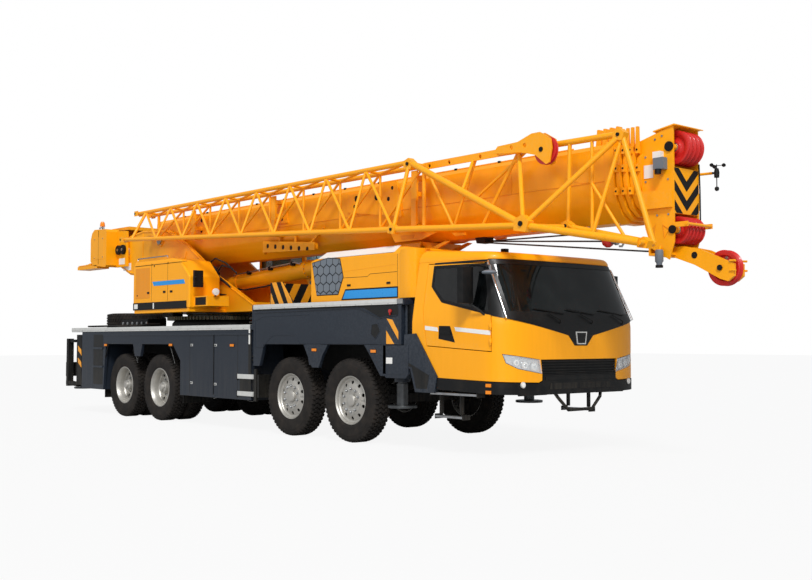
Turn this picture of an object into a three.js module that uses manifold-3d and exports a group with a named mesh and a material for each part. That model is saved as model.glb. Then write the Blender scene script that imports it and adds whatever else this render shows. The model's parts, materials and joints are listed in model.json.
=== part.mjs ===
// A four-axle truck crane: carrier, slewing superstructure, telescopic boom and stowed lattice jib.
// Millimetres, +X forward, +Y left, +Z up. Stations are counted from the first axle, and the
// whole crane is moved at the end so that its origin is at the middle of its footprint.
import * as THREE from "three";
import { mergeVertices } from "three/addons/utils/BufferGeometryUtils.js";
import Module from "manifold-3d";

const wasm = await Module();
wasm.setup();

// Driving dimensions
const seatGap = 0.3; // between two pieces that rest on each other
const runGap = 6; // between two pieces that move past each other
const pinGap = 0.5; // around a pin, and under a piece that slides on its seat
const wheelSides = 24; // a wheel is a prism of this many sides, standing on a flat one

const bodyHalf = 1400; // half the vehicle's width
const skin = 60; // thickness of cab walls, doors and side panels

// Wheels, axles and steering
const tyreRadius = 613;
const tyreWidth = 310;
const rimRadius = 352;
const tyreFace = 1330; // outer tyre side from the centre plane
const twinGap = 60;
const frontAxles = [0, -1500];
const rearAxles = [-5690, -7110];
const steerPivot = 850; // kingpin from the centre plane
const kingpinRadius = 34;
const spindleRadius = 60;
const axleBeam = 130;
const springHalf = 560;

// Carrier frame and decks
const frameHalf = 420;
const railWidth = 90;
const rearFrame = { back: -9650, front: -2600, bottom: 1050 };
const frontRail = { bottom: 1000, top: 1480, noseBottom: 900, noseTop: 1270, front: 2930 };
const deckSheet = 82;
const rearDeckTop = 1737;
const midDeckTop = 2050;
const riserThick = 40;
const deckStep = -2450; // where the deck steps up to the engine bay
const rearDeckEnd = -9350;
const midDeckFront = 1300;

// Outriggers
const beamWidth = 232;
const beamHeight = 300;
const boxWall = 22;
const weldIn = 10; // how far one welded plate reaches into the next
const boxHalf = 1030; // half the length of the cross boxes that hold the beams
const jackAt = 1160; // jack centre from the centre plane, beam retracted
const jackRadius = 115;
const legRadius = 62;
const padRadius = 205;
const padThick = 36;
// order is 1 where the left beam runs ahead of the right one, -1 where it runs behind
const frontOutrigger = { middle: 1125, order: 1, bottom: 945, top: 1420, padBottom: 545 };
const rearOutrigger = { middle: -9370, order: -1, bottom: 704, top: 1560, padBottom: 470 };

// Carrier cab
const cab = { back: 1440, front: 3220, half: 1380, bottom: 1000, floor: 1340, sill: 1745 };
const cabRoofBack = 2710;
const cabRoofFront = 2560;
const screenLean = 0.36; // how far the screen leans back for each unit of height
const paneThick = 14;
const doorGap = 14; // round a door, wide enough for its swinging edge
const hingeGap = 8; // along its hinged edge
const hingeFeet = [1450, 1640]; // lower ends of a door's two knuckles
const hinge = { y: 1372, pin: 12, knuckle: 20, high: 60, plate: 34 };
const doorFront = 2900;
const doorBack = 1640;
const doorBottom = 1400;
const dashHalf = 1240;
const mirrorAt = 2560;
const mirrorIn = 1362;
const mirrorOut = 1596;

// Engine bay
const hood = { back: -1050, front: 1290, half: 1250, top: 2800 };

// Superstructure
const slewAt = -5500;
const ringRadius = 700;
const seatRim = 40; // the frame's seat reaches this far past the ring
const ringTop = 2000;
const ringBottom = 1806;
const plateIn = 484; // inner face of the turntable's side plates
const plateThick = 50;
const footPin = { x: -7150, z: 3500, r: 72 }; // boom foot
const liftPin = { x: -5300, z: 2550, r: 55 }; // lower end of the lift cylinder
const eyePin = { x: -1900, z: 2775, r: 55 }; // upper end of the lift cylinder
const eyeWidth = 150;
const barrelRadius = 148;
const rodRadius = 92;
const winchAt = [-8200, -8730];
const winchZ = 3400;
const weight = { back: -9700, front: -8480, half: 850, bottom: 3030, top: 3880 };
const housing = { back: -6800, front: -4650, out: 1300, inn: 660, bottom: 2110, top: 3000 };
const opCab = { back: -5350, front: -3750, inn: 650, out: 1324, bottom: 2060.3, top: 3560, wall: 50 };

// Boom
const boomBack = -7480;
const boomFront = 4130;
const boomHalf = 440;
const boomTop = 3915;
const boomBottom = 2950;
const nest = 45; // how much smaller each section is than the one that holds it
const boomWall = 14;
const collar = 66; // visible length of each retracted section
const collarRim = 22;
const combLong = 380; // rope comb on top of the base section, back from its mouth
const combStep = 98;
const combTop = 4130;
const sectionBack = [-6900, -6860, -6820, -6780];
const headBack = boomFront + 260; // rear edge of the head's side plates
const headFront = headBack + 465;
const headHalf = 264;
const headPlate = 24;
const headTop = 4036;
const headBottom = 2440;
const headSheave = { x: headFront - 55, z: 3790, r: 208 };
const lowSheave = { x: headFront - 20, z: 2795, r: 165 };
const noseSheave = { x: headFront + 515, z: 2320, r: 216 };
const sheaveStep = 100; // sheaves on one shaft, from centre to centre
const headShaft = 40;
const noseShaft = 34;
const sheaveThick = 56;
const sheaveSides = 16;

// Stowed lattice jib, on the boom's right side
const jibIn = -620;
const jibOut = -1210;
const jibTopOut = -900;
const jibTop = 4028;
const jibBack = -7420;
const jibBend = 850;
const chordRadius = 38;
const laceRadius = 19;
const jibBays = 7;
const jibBrackets = [-5700, -3000, 640];

// Colours
const paint = {
  yellow: ["#FFA91E", 0.42, 0.0],
  slate: ["#333B47", 0.5, 0.1],
  silver: ["#DCDCD7", 0.4, 0.4],
  black: ["#17181A", 0.6, 0.0],
  rubber: ["#2E2A27", 0.85, 0.0],
  steel: ["#8D9196", 0.35, 0.9],
  red: ["#D8352F", 0.45, 0.0],
  glass: ["#1A1F22", 0.08, 0.0],
  seat: ["#3A3C40", 0.9, 0.0],
};

// ---------------------------------------------------------------- solids
function solid(geometry) {
  const bare = geometry.clone();
  bare.deleteAttribute("normal");
  bare.deleteAttribute("uv");
  const merged = mergeVertices(bare, 1e-3);
  const mesh = new wasm.Mesh({
    numProp: 3,
    vertProperties: new Float32Array(merged.attributes.position.array),
    triVerts: new Uint32Array(merged.index.array),
  });
  return new wasm.Manifold(mesh);
}

function geometryOf(body) {
  const mesh = body.getMesh();
  const geometry = new THREE.BufferGeometry();
  geometry.setAttribute("position", new THREE.BufferAttribute(mesh.vertProperties, 3));
  geometry.setIndex(new THREE.BufferAttribute(mesh.triVerts, 1));
  geometry.computeVertexNormals();
  return geometry;
}

const join = (...bodies) => bodies.reduce((sum, body) => sum.add(body));
const cut = (body, ...tools) => tools.reduce((rest, tool) => rest.subtract(tool), body);
const common = (...bodies) => bodies.reduce((rest, body) => rest.intersect(body));

// A block between two corners.
function block(x0, x1, y0, y1, z0, z1) {
  const geometry = new THREE.BoxGeometry(x1 - x0, y1 - y0, z1 - z0);
  geometry.translate((x0 + x1) / 2, (y0 + y1) / 2, (z0 + z1) / 2);
  return solid(geometry);
}

function outline(points) {
  const shape = new THREE.Shape();
  shape.moveTo(...points[0]);
  points.slice(1).forEach((point) => shape.lineTo(...point));
  shape.closePath();
  return shape;
}

function extrude(points, depth) {
  return new THREE.ExtrudeGeometry(outline(points), { depth, bevelEnabled: false });
}

// A plate whose side view [x, z] runs from y0 to y1.
function sidePlate(points, y0, y1) {
  const geometry = extrude(points, y1 - y0);
  geometry.rotateX(Math.PI / 2);
  geometry.translate(0, y1, 0);
  return solid(geometry);
}

// A bar whose end view [y, z] runs from x0 to x1.
function bar(points, x0, x1) {
  const geometry = extrude(points, x1 - x0);
  geometry.rotateX(Math.PI / 2);
  geometry.rotateZ(Math.PI / 2);
  geometry.translate(x0, 0, 0);
  return solid(geometry);
}

// A slab whose plan [x, y] runs from z0 to z1, leaning back by lean for each unit of height.
function slab(points, z0, z1, lean = 0) {
  const geometry = extrude(points, z1 - z0);
  if (lean) {
    geometry.applyMatrix4(new THREE.Matrix4().makeShear(0, 0, 0, 0, -lean, 0));
  }
  geometry.translate(0, 0, z0);
  return solid(geometry);
}

// A round bar between two points. start turns its first corner.
function rod(from, to, radius, sides = 12, start = 0) {
  const a = new THREE.Vector3(...from);
  const b = new THREE.Vector3(...to);
  const geometry = new THREE.CylinderGeometry(radius, radius, a.distanceTo(b), sides, 1, false, start);
  const turn = new THREE.Quaternion().setFromUnitVectors(
    new THREE.Vector3(0, 1, 0),
    b.clone().sub(a).normalize(),
  );
  geometry.applyQuaternion(turn);
  geometry.translate((a.x + b.x) / 2, (a.y + b.y) / 2, (a.z + b.z) / 2);
  return solid(geometry);
}

const pinAlongY = (x, z, radius, half, sides = 16) =>
  rod([x, -half, z], [x, half, z], radius, sides);

// A hole in which a pin of that radius and as many sides turns freely: its flats face the pin's corners.
const hole = (from, to, radius, sides) =>
  rod(from, to, (radius + pinGap) / Math.cos(Math.PI / sides), sides, Math.PI / sides);
const holeAlongY = (x, z, radius, half, sides = 16) => hole([x, -half, z], [x, half, z], radius, sides);

const bothSides = (make) => join(make(1), make(-1));

const crane = new THREE.Group();
const model = new THREE.Group();
crane.add(model);

function add(name, body, colour, place = [0, 0, 0]) {
  const [tone, roughness, metalness] = paint[colour];
  const material = new THREE.MeshStandardMaterial({ color: tone, roughness, metalness });
  const geometry = body.isBufferGeometry ? body : geometryOf(body);
  const mesh = new THREE.Mesh(geometry, material);
  mesh.name = name;
  mesh.position.set(...place);
  model.add(mesh);
  return mesh;
}

const sideName = (side) => (side > 0 ? "left" : "right");

// ---------------------------------------------------------------- carrier frame
function outriggerBox({ middle, bottom }) {
  const half = beamWidth + runGap + 1.5 * boxWall;
  const top = bottom + beamHeight + 2 * (boxWall + runGap);
  const shell = block(middle - half, middle + half, -boxHalf, boxHalf, bottom, top);
  const cell = (side) => {
    const inner = middle + side * (boxWall / 2);
    const outer = middle + side * (half - boxWall);
    const [a, b] = [Math.min(inner, outer), Math.max(inner, outer)];
    return block(a, b, -boxHalf - 1, boxHalf + 1, bottom + boxWall, top - boxWall);
  };
  return cut(shell, cell(1), cell(-1));
}

const boxTop = (outrigger) => outrigger.bottom + beamHeight + 2 * (boxWall + runGap);
const boxHalfLong = beamWidth + runGap + 1.5 * boxWall;

function frame() {
  const seatTop = ringBottom - pinGap;
  const box = block(rearFrame.back, rearFrame.front, -frameHalf, frameHalf,
    rearFrame.bottom, rearDeckTop - deckSheet - seatGap);
  const frontBox = frontOutrigger.middle - boxHalfLong;
  const frontEnd = frontOutrigger.middle + boxHalfLong;
  const rail = [
    [rearFrame.front - 10, frontRail.bottom],
    [frontBox + weldIn, frontRail.bottom],
    [frontBox + weldIn, boxTop(frontOutrigger) - weldIn],
    [frontEnd - weldIn, boxTop(frontOutrigger) - weldIn],
    [frontEnd - weldIn, frontRail.noseBottom],
    [frontRail.front, frontRail.noseBottom],
    [frontRail.front, frontRail.noseTop],
    [cab.back + 60, frontRail.noseTop],
    [cab.back - 20, frontRail.top],
    [rearFrame.front - 10, frontRail.top],
  ];
  const rails = bothSides((side) => {
    const y = side * (frameHalf - railWidth / 2);
    return sidePlate(rail, y - railWidth / 2, y + railWidth / 2);
  });
  const crossAt = [deckStep + 150, frontRail.front - 80];
  const crosses = join(
    block(crossAt[0], crossAt[0] + 80, -frameHalf, frameHalf, frontRail.bottom, frontRail.bottom + 160),
    block(crossAt[1], crossAt[1] + 80, -frameHalf, frameHalf, frontRail.noseBottom, frontRail.noseTop),
  );
  // Posts and outer beams that carry the raised deck
  const posts = bothSides((side) => {
    const post = (x) => {
      const y = side * 380;
      return block(x, x + 70, y - 40, y + 40, frontRail.top - 20, midDeckTop - deckSheet - seatGap);
    };
    return join(post(deckStep + 60), post(-1230));
  });
  const arms = bothSides((side) => {
    const arm = (x, z) => {
      const [a, b] = side > 0 ? [frameHalf - 20, 760] : [-760, 20 - frameHalf];
      return block(x, x + 70, a, b, z, z + 110);
    };
    return join(arm(-8500, 1300), arm(-4400, 1300), arm(-2900, 1300));
  });
  const seat = rod([slewAt, 0, rearFrame.bottom + 200], [slewAt, 0, seatTop], ringRadius + seatRim, 24);
  const boxBack = rearOutrigger.middle - boxHalfLong;
  const buffer = block(rearFrame.back - 60, boxBack + weldIn, -boxHalf, boxHalf, 720, 960);
  const bufferWeb = block(rearFrame.back - 60, boxBack + weldIn, -frameHalf, frameHalf, 720, 1100);
  return join(box, rails, crosses, posts, arms, seat, buffer, bufferWeb,
    outriggerBox(frontOutrigger), outriggerBox(rearOutrigger));
}
add("chassis_frame", frame(), "slate");

function decks() {
  const rear = block(rearDeckEnd, deckStep, -bodyHalf, bodyHalf, rearDeckTop - deckSheet, rearDeckTop);
  const riser = block(deckStep, deckStep + riserThick, -bodyHalf, bodyHalf, rearDeckTop - deckSheet, midDeckTop);
  const mid = block(deckStep, midDeckFront, -bodyHalf, bodyHalf, midDeckTop - deckSheet, midDeckTop);
  const hole = rod([slewAt, 0, rearDeckTop - 200], [slewAt, 0, rearDeckTop + 100], ringRadius + 60, 24);
  const bay = block(-990, 960, -360, 360, midDeckTop - 200, midDeckTop + 10);
  return cut(join(rear, riser, mid), hole, bay);
}
add("deck", decks(), "slate");

function frontFender(side) {
  const top = midDeckTop - deckSheet - seatGap;
  const arch = 1420;
  const back = deckStep + riserThick + seatGap;
  const panel = [
    [back, 1070], [-2230, 1070], [-2100, arch], [-960, arch],
    [-880, 1110], [-680, 1110], [-600, arch],
    [midDeckFront - 60, arch], [midDeckFront - 60, top], [back, top],
  ];
  const y0 = side > 0 ? bodyHalf - skin : -bodyHalf;
  const skirt = sidePlate(panel, y0, y0 + skin);
  const inner = side > 0 ? [frameHalf + 40, bodyHalf - skin + 1] : [-bodyHalf + skin - 1, -frameHalf - 40];
  const shelf = block(-2120, 780, inner[0], inner[1], arch, arch + 30);
  const wall = block(-2120, 780, side > 0 ? inner[0] : inner[1] - 30,
    side > 0 ? inner[0] + 30 : inner[1], arch, top);
  return join(skirt, shelf, wall);
}

function rearFender(side) {
  const top = rearDeckTop - deckSheet - seatGap;
  const arch = 1410;
  const [back, front] = rearAxles.slice().reverse();
  const middle = (back + front) / 2;
  const panel = [
    [-8850, 500], [-7840, 500], [back - 640, arch], [middle - 190, arch],
    [middle - 110, 1180], [middle + 110, 1180], [middle + 190, arch],
    [front + 640, arch], [-4770, 1120], [-4770, 510], [deckStep - 20, 510],
    [deckStep - 20, top], [-8850, top],
  ];
  const y0 = side > 0 ? bodyHalf - skin : -bodyHalf;
  const skirt = sidePlate(panel, y0, y0 + skin);
  const span = (depth) => (side > 0 ? [depth, bodyHalf - 1] : [1 - bodyHalf, -depth]);
  const [a, b] = span(ringRadius + seatRim + 22);
  const tools = block(-4770, deckStep - 20, a, b, 510, top);
  const tail = block(-8850, -7840, a, b, 500, top);
  const shelf = block(-7900, -4700, a, b, arch, arch + 30);
  const seam = side > 0 ? [bodyHalf - 16, bodyHalf + 10] : [-bodyHalf - 10, 16 - bodyHalf];
  const groove = block(-3640, -3610, seam[0], seam[1], 560, 1600);
  return cut(join(skirt, tools, tail, shelf), groove);
}

for (const side of [1, -1]) {
  add(`front_fender_${sideName(side)}`, frontFender(side), "slate");
  add(`rear_body_${sideName(side)}`, rearFender(side), "slate");
}

// ---------------------------------------------------------------- axles, knuckles and wheels
function springs(x, carrierBottom, at) {
  return bothSides((side) => {
    const y = side * at;
    const pack = [
      [x - springHalf, 830], [x, axleTop - 10], [x + springHalf, 830],
      [x + springHalf, 870], [x, axleTop + 90], [x - springHalf, 870],
    ];
    const hanger = (end) => {
      const foot = x + end * (springHalf - 40);
      return block(foot - 40, foot + 40, y - 35, y + 35, 820, carrierBottom - seatGap);
    };
    return join(sidePlate(pack, y - 35, y + 35), hanger(1), hanger(-1));
  });
}

const axleTop = tyreRadius + axleBeam / 2;

function steerAxle(x) {
  const beam = block(x - 70, x + 70, -steerPivot + 130, steerPivot - 130,
    tyreRadius - axleBeam / 2, axleTop);
  const ends = bothSides((side) => {
    const y = side * steerPivot;
    const boss = rod([x, y, tyreRadius - 75], [x, y, tyreRadius + 75], 62, 10);
    const arm = block(x - 50, x + 50, Math.min(y, y - side * 190), Math.max(y, y - side * 190),
      tyreRadius - 60, tyreRadius + 60);
    const bore = hole([x, y, 300], [x, y, 900], kingpinRadius, 10);
    return cut(join(boss, arm), bore);
  });
  return join(beam, ends, springs(x, frontRail.bottom, 375));
}

// A driven axle with its bevel gear housing in the middle
function driveAxle(x) {
  const beam = rod([x, -560, tyreRadius], [x, 560, tyreRadius], axleBeam / 2 + 15, 12);
  const bulge = new THREE.SphereGeometry(250, 10, 6);
  bulge.translate(x, 0, tyreRadius);
  const stubs = rod([x, -1180, tyreRadius], [x, 1180, tyreRadius], spindleRadius, 12);
  return join(beam, solid(bulge), stubs, springs(x, rearFrame.bottom, 375));
}

// The knuckle stands about its kingpin, and carries the spindle outwards along +Y or -Y.
function knuckle(side) {
  const fork = (z) => {
    const lug = rod([0, 0, z - 24], [0, 0, z + 24], 66, 10);
    const web = block(-50, 50, Math.min(0, side * 128), Math.max(0, side * 128), z - 24, z + 24);
    return join(lug, web);
  };
  const high = 75 + runGap + 24;
  const back = block(-70, 70, side > 0 ? 84 : -128, side > 0 ? 128 : -84, -high - 24, high + 24);
  const kingpin = rod([0, 0, -high], [0, 0, high], kingpinRadius, 10);
  const spindle = rod([0, side * 120, 0], [0, side * (tyreFace - steerPivot - 90), 0], spindleRadius, 12);
  return join(fork(high), fork(-high), back, kingpin, spindle);
}

// A wheel turns about Y at its own centre, and out is the outer side of its tyre.
// Each profile point is [radius, distance outwards].
function wheel(profile, side) {
  const stretch = 1 / Math.cos(Math.PI / wheelSides);
  const points = profile.map(([r, out]) => new THREE.Vector2(r * stretch, out));
  const geometry = new THREE.LatheGeometry(points.concat(points[0].clone()), wheelSides, Math.PI / wheelSides);
  if (side < 0) {
    geometry.rotateX(Math.PI);
  }
  return solid(geometry);
}

const shoulder = 36;
const bore = spindleRadius + pinGap;
const tyreRing = (out) => [
  [rimRadius + 30, out - tyreWidth],
  [tyreRadius - 40, out - tyreWidth],
  [tyreRadius, out - tyreWidth + shoulder],
  [tyreRadius, out - shoulder],
  [tyreRadius - 40, out],
  [rimRadius + 30, out],
];

function singleProfile() {
  const out = tyreWidth / 2;
  return [
    [bore, out - 250],
    [150, out - 250],
    [rimRadius - 10, out - 90],
    ...tyreRing(out),
    [rimRadius - 20, out - 60],
    [190, out - 6],
    [bore, out - 6],
  ];
}

function twinProfile() {
  const out = tyreWidth + twinGap / 2;
  return [
    [bore, -out + 60],
    [170, -out + 60],
    [rimRadius - 10, -40],
    ...tyreRing(-twinGap / 2),
    ...tyreRing(out),
    [rimRadius - 20, 60],
    [170, out - 110],
    [bore, out - 110],
  ];
}

for (const [index, x] of frontAxles.entries()) {
  const axle = index + 1;
  add(`axle_${axle}`, steerAxle(x), "black");
  for (const side of [1, -1]) {
    const name = `${axle}_${sideName(side)}`;
    add(`knuckle_${name}`, knuckle(side), "black", [x, side * steerPivot, tyreRadius]);
    const centre = side * (tyreFace - tyreWidth / 2);
    add(`wheel_${name}`, wheel(singleProfile(), side), "rubber", [x, centre, tyreRadius]);
  }
}
for (const [index, x] of rearAxles.entries()) {
  const axle = index + 3;
  add(`axle_${axle}`, driveAxle(x), "black");
  for (const side of [1, -1]) {
    const centre = side * (tyreFace - tyreWidth - twinGap / 2);
    add(`twin_wheel_${axle}_${sideName(side)}`, wheel(twinProfile(), side), "rubber",
      [x, centre, tyreRadius]);
  }
}

function spareWheel() {
  const half = tyreWidth / 2;
  const profile = [
    [110, -half], [tyreRadius - 40, -half], [tyreRadius, shoulder - half], [tyreRadius, half - shoulder],
    [tyreRadius - 40, half], [rimRadius + 20, half], [rimRadius, half - 70], [110, half - 70],
  ];
  const geometry = geometryOf(wheel(profile, 1));
  geometry.rotateX(Math.PI / 2);
  return geometry;
}
add("spare_wheel", spareWheel(), "rubber", [-8600, -300, rearDeckTop + seatGap + tyreWidth / 2]);

// ---------------------------------------------------------------- outriggers
function laneOf(side, outrigger) {
  return outrigger.middle + outrigger.order * side * (beamWidth + boxWall + runGap) / 2;
}

// A beam runs across the vehicle from its jack into the far end of its cell.
function beam(side, outrigger) {
  const lane = laneOf(side, outrigger);
  const low = outrigger.bottom + boxWall + pinGap;
  const [a, b] = side > 0 ? [30 - boxHalf, jackAt] : [-jackAt, boxHalf - 30];
  const half = beamWidth / 2;
  const tube = block(lane - half, lane + half, a, b, low, low + beamHeight);
  const sleeve = rod([lane, side * jackAt, outrigger.bottom - 40],
    [lane, side * jackAt, outrigger.top], jackRadius, 16);
  const bore = rod([lane, side * jackAt, outrigger.bottom - 200],
    [lane, side * jackAt, outrigger.top - 40], legRadius + pinGap, 16);
  return cut(join(tube, sleeve), bore);
}

function jack(side, outrigger) {
  const lane = laneOf(side, outrigger);
  const y = side * jackAt;
  const leg = rod([lane, y, outrigger.padBottom + 20], [lane, y, outrigger.top - 60], legRadius, 16);
  const ball = rod([lane, y, outrigger.padBottom + 20], [lane, y, outrigger.bottom - 60], 80, 12);
  const pad = rod([lane, y, outrigger.padBottom], [lane, y, outrigger.padBottom + padThick], padRadius, 16);
  return join(leg, ball, pad);
}

for (const [place, outrigger] of [["front", frontOutrigger], ["rear", rearOutrigger]]) {
  for (const side of [1, -1]) {
    add(`outrigger_beam_${place}_${sideName(side)}`, beam(side, outrigger), "slate");
    add(`outrigger_jack_${place}_${sideName(side)}`, jack(side, outrigger), "steel");
  }
}

// ---------------------------------------------------------------- engine bay
const engineHalf = frameHalf - railWidth - seatGap;
add("engine_block", block(-960, 420, -engineHalf, engineHalf, 1180, 2400), "steel");

function engineHood() {
  const side = [
    [hood.back, midDeckTop + seatGap], [hood.front, midDeckTop + seatGap],
    [hood.front, hood.top - 40], [hood.front - 300, hood.top],
    [hood.back + 420, hood.top], [hood.back, hood.top - 110],
  ];
  const end = [
    [-hood.half, midDeckTop], [hood.half, midDeckTop], [hood.half, hood.top - 90],
    [hood.half - 130, hood.top + 20], [-hood.half + 130, hood.top + 20], [-hood.half, hood.top - 90],
  ];
  const outer = common(sidePlate(side, -hood.half, hood.half), bar(end, hood.back, hood.front));
  const inner = block(hood.back + 50, hood.front - 50, 50 - hood.half, hood.half - 50,
    midDeckTop - 10, hood.top - 130);
  return cut(outer, inner);
}
add("engine_hood", engineHood(), "yellow");

const restTop = boomBottom - runGap - 2;
function boomRest() {
  const low = hood.top + seatGap;
  const end = [
    [-260, low], [260, low], [420, restTop], [-420, restTop],
  ];
  return bar(end, 20, 560);
}
add("boom_rest", boomRest(), "yellow");

// ---------------------------------------------------------------- carrier cab
// The cab's outer shape, drawn in by inset on every side.
function cabBlock(inset) {
  const plan = (grow) => {
    const half = cab.half - grow;
    const nose = cab.front - grow;
    const right = [
      [cab.back + grow, -half], [nose - 340, -half], [nose - 180, -half + 80],
      [nose - 60, -half + 320], [nose - 15, -half + 760], [nose, 0],
    ];
    const left = right.slice(0, -1).reverse().map(([x, y]) => [x, -y]);
    return right.concat(left);
  };
  const low = slab(plan(inset), cab.bottom, cab.sill);
  const high = slab(plan(inset), cab.sill, cabRoofBack + 100, screenLean);
  const side = [
    [cab.back + inset + 520, cab.bottom], [cab.front + 10, cab.bottom],
    [cab.front + 10, cabRoofFront - inset - 60], [cab.front - 480 - inset, cabRoofFront - inset],
    [cab.back + inset + 30, cabRoofBack - inset], [cab.back + inset, cabRoofBack - inset - 60],
    [cab.back + inset, cab.sill + 280],
  ];
  const half = cab.half - inset;
  const end = [
    [-half, cab.bottom], [half, cab.bottom], [half, cab.sill],
    [half - 150, cabRoofBack - 60 - inset], [half - 260, cabRoofBack + 10],
    [260 - half, cabRoofBack + 10], [150 - half, cabRoofBack - 60 - inset], [-half, cab.sill],
  ];
  return common(join(low, high), sidePlate(side, -cab.half, cab.half), bar(end, cab.back, cab.front + 10));
}

const doorOutline = (grow, ahead) => [
  [doorBack - grow + 90, doorBottom - grow], [doorFront + ahead, doorBottom - grow],
  [doorFront + ahead, cab.sill], [doorFront - 180 + ahead, 2470 + grow],
  [doorBack - grow, 2500 + grow], [doorBack - grow, 1900],
];

const windowOutline = [
  [doorBack + 110, 1985], [doorFront - 70, 1800], [doorFront - 220, 2420], [doorBack + 110, 2440],
];

// Front view of the windscreen opening [y, z]
const screenOutline = (grow) => [
  [-1190 - grow, cab.sill + 40 - grow], [1190 + grow, cab.sill + 40 - grow],
  [1080 + grow, 2470 + grow], [-1080 - grow, 2470 + grow],
];

const cabShell = () => {
  const inner = common(cabBlock(skin),
    block(cab.back, cab.front + 50, -cab.half, cab.half, cab.floor, cabRoofBack + 100));
  return cut(cabBlock(0), inner);
};

function doorZone(side, grow = 0, ahead = 0) {
  const [a, b] = side > 0 ? [cab.half - 330, cab.half + 50] : [-cab.half - 50, 330 - cab.half];
  return sidePlate(doorOutline(grow, ahead), a, b);
}

// A round bar along a door's hinge line, standing past a knuckle by extra at each end
const hingeBar = (side, foot, radius, extra) => rod([doorFront + hingeGap / 2, side * hinge.y, foot - extra],
  [doorFront + hingeGap / 2, side * hinge.y, foot + hinge.high + extra], radius, 12);

// The pins of a door's hinges and the plates that hold them
function hingePins(side) {
  const [a, b] = side > 0 ? [hinge.y - 30, hinge.y + 14] : [-hinge.y - 14, 30 - hinge.y];
  return join(...hingeFeet.map((foot) => {
    const plate = (z) => block(doorFront + hingeGap / 2, doorFront + 60, a, b, z, z + hinge.plate);
    return join(hingeBar(side, foot, hinge.pin, runGap + hinge.plate),
      plate(foot - runGap - hinge.plate), plate(foot + hinge.high + runGap));
  }));
}

function carrierCab() {
  const tunnel = block(cab.back - 10, cab.front + 100, -1180, 1180, cab.bottom - 10, cab.floor - 50);
  const nosePlate = common(cabBlock(0), block(cab.front - 270, cab.front + 10, -1180, 1180,
    cab.bottom, cab.floor));
  const screen = bar(screenOutline(0), cab.front - 700, cab.front + 50);
  const backWindow = block(cab.back - 20, cab.back + 200, -700, 700, 2150, 2500);
  const dash = common(cabBlock(skin - 10), block(cab.front - 600, cab.front, -dashHalf, dashHalf,
    cab.floor - 20, cab.sill + 30));
  const column = rod([2545, 620, 1712], [2900, 620, 1400], 40, 10);
  const rim = new THREE.TorusGeometry(205, 18, 6, 16);
  rim.rotateY(THREE.MathUtils.degToRad(-52));
  rim.translate(2545, 620, 1712);
  const spoke = rod([2545 - 120, 620, 1712 - 155], [2545 + 120, 620, 1712 + 155], 16, 8);
  const body = cut(cabShell(), tunnel, screen, backWindow, doorZone(1, doorGap, hingeGap),
    doorZone(-1, doorGap, hingeGap),
    ...hingeFeet.flatMap((foot) => [1, -1].map((side) => hingeBar(side, foot, hinge.knuckle + runGap, runGap))));
  return join(body, nosePlate, dash, column, solid(rim), spoke, hingePins(1), hingePins(-1));
}
add("carrier_cab", carrierCab(), "yellow");

function windscreen() {
  const layer = cut(cabBlock(12), cabBlock(12 + paneThick));
  const zone = bar(screenOutline(-2 * seatGap), cab.front - 700, cab.front + 50);
  return common(layer, zone);
}
add("windscreen", windscreen(), "glass");

// The door is a piece of the cab's side wall, without the returns of its sloping back wall.
function cabDoor(side) {
  const inside = cabBlock(skin);
  const panel = common(cut(cabBlock(0), inside, inside.translate([-300, 0, 0])), doorZone(side));
  const [a, b] = side > 0 ? [900, cab.half + 60] : [-cab.half - 60, -900];
  const knuckles = hingeFeet.map((foot) => hingeBar(side, foot, hinge.knuckle, 0));
  const bores = hingeFeet.map((foot) => {
    const at = [doorFront + hingeGap / 2, side * hinge.y];
    const over = runGap + hinge.plate + 1;
    return hole([...at, foot - over], [...at, foot + hinge.high + over], hinge.pin, 12);
  });
  return cut(join(cut(panel, sidePlate(windowOutline, a, b)), ...knuckles), ...bores);
}
for (const side of [1, -1]) {
  add(`cab_door_${sideName(side)}`, cabDoor(side), "yellow");
}

function cabSeats() {
  const base = block(1880, 2230, -900, 900, cab.floor + seatGap, cab.floor + 120);
  const seat = (y) => {
    const cushion = block(1830, 2320, y - 240, y + 240, cab.floor + 110, cab.floor + 330);
    const back = sidePlate([
      [1830, cab.floor + 320], [1950, cab.floor + 320], [1800, cab.floor + 980], [1700, cab.floor + 980],
    ], y - 230, y + 230);
    return join(cushion, back);
  };
  return join(base, seat(620), seat(-620));
}
add("cab_seats", cabSeats(), "seat");

function frontBumper() {
  const plan = (inset) => {
    const half = cab.half - 10 - inset;
    const nose = cab.front + 15 - inset;
    const right = [
      [1960, -half], [nose - 340, -half], [nose - 180, -half + 80],
      [nose - 60, -half + 320], [nose - 15, -half + 760], [nose, 0],
    ];
    return right.concat(right.slice(0, -1).reverse().map(([x, y]) => [x, -y]));
  };
  const low = 800;
  const high = cab.bottom - seatGap;
  const ring = cut(slab(plan(0), low, high), slab(plan(90), low - 10, high + 10),
    block(1900, 1990, -1280, 1280, low - 10, high + 10));
  const tie = block(frontRail.front + seatGap, cab.front - 60, -frameHalf, frameHalf, low, high);
  const guard = [
    [-500, low + 10], [-440, low + 10], [-270, 612], [270, 612], [440, low + 10], [500, low + 10],
    [310, 560], [-310, 560],
  ];
  const hoop = bar(guard, cab.front - 110, cab.front - 60);
  const steps = bothSides((side) => {
    const y = side * (cab.half - 60);
    const tread = block(2020, 2600, y - 50, y + 50, 520, 556);
    const hang = (x) => block(x, x + 36, y - 40, y + 40, 540, low + 20);
    return join(tread, hang(2060), hang(2520));
  });
  return join(ring, tie, hoop, steps);
}
add("front_bumper", frontBumper(), "black");

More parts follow.
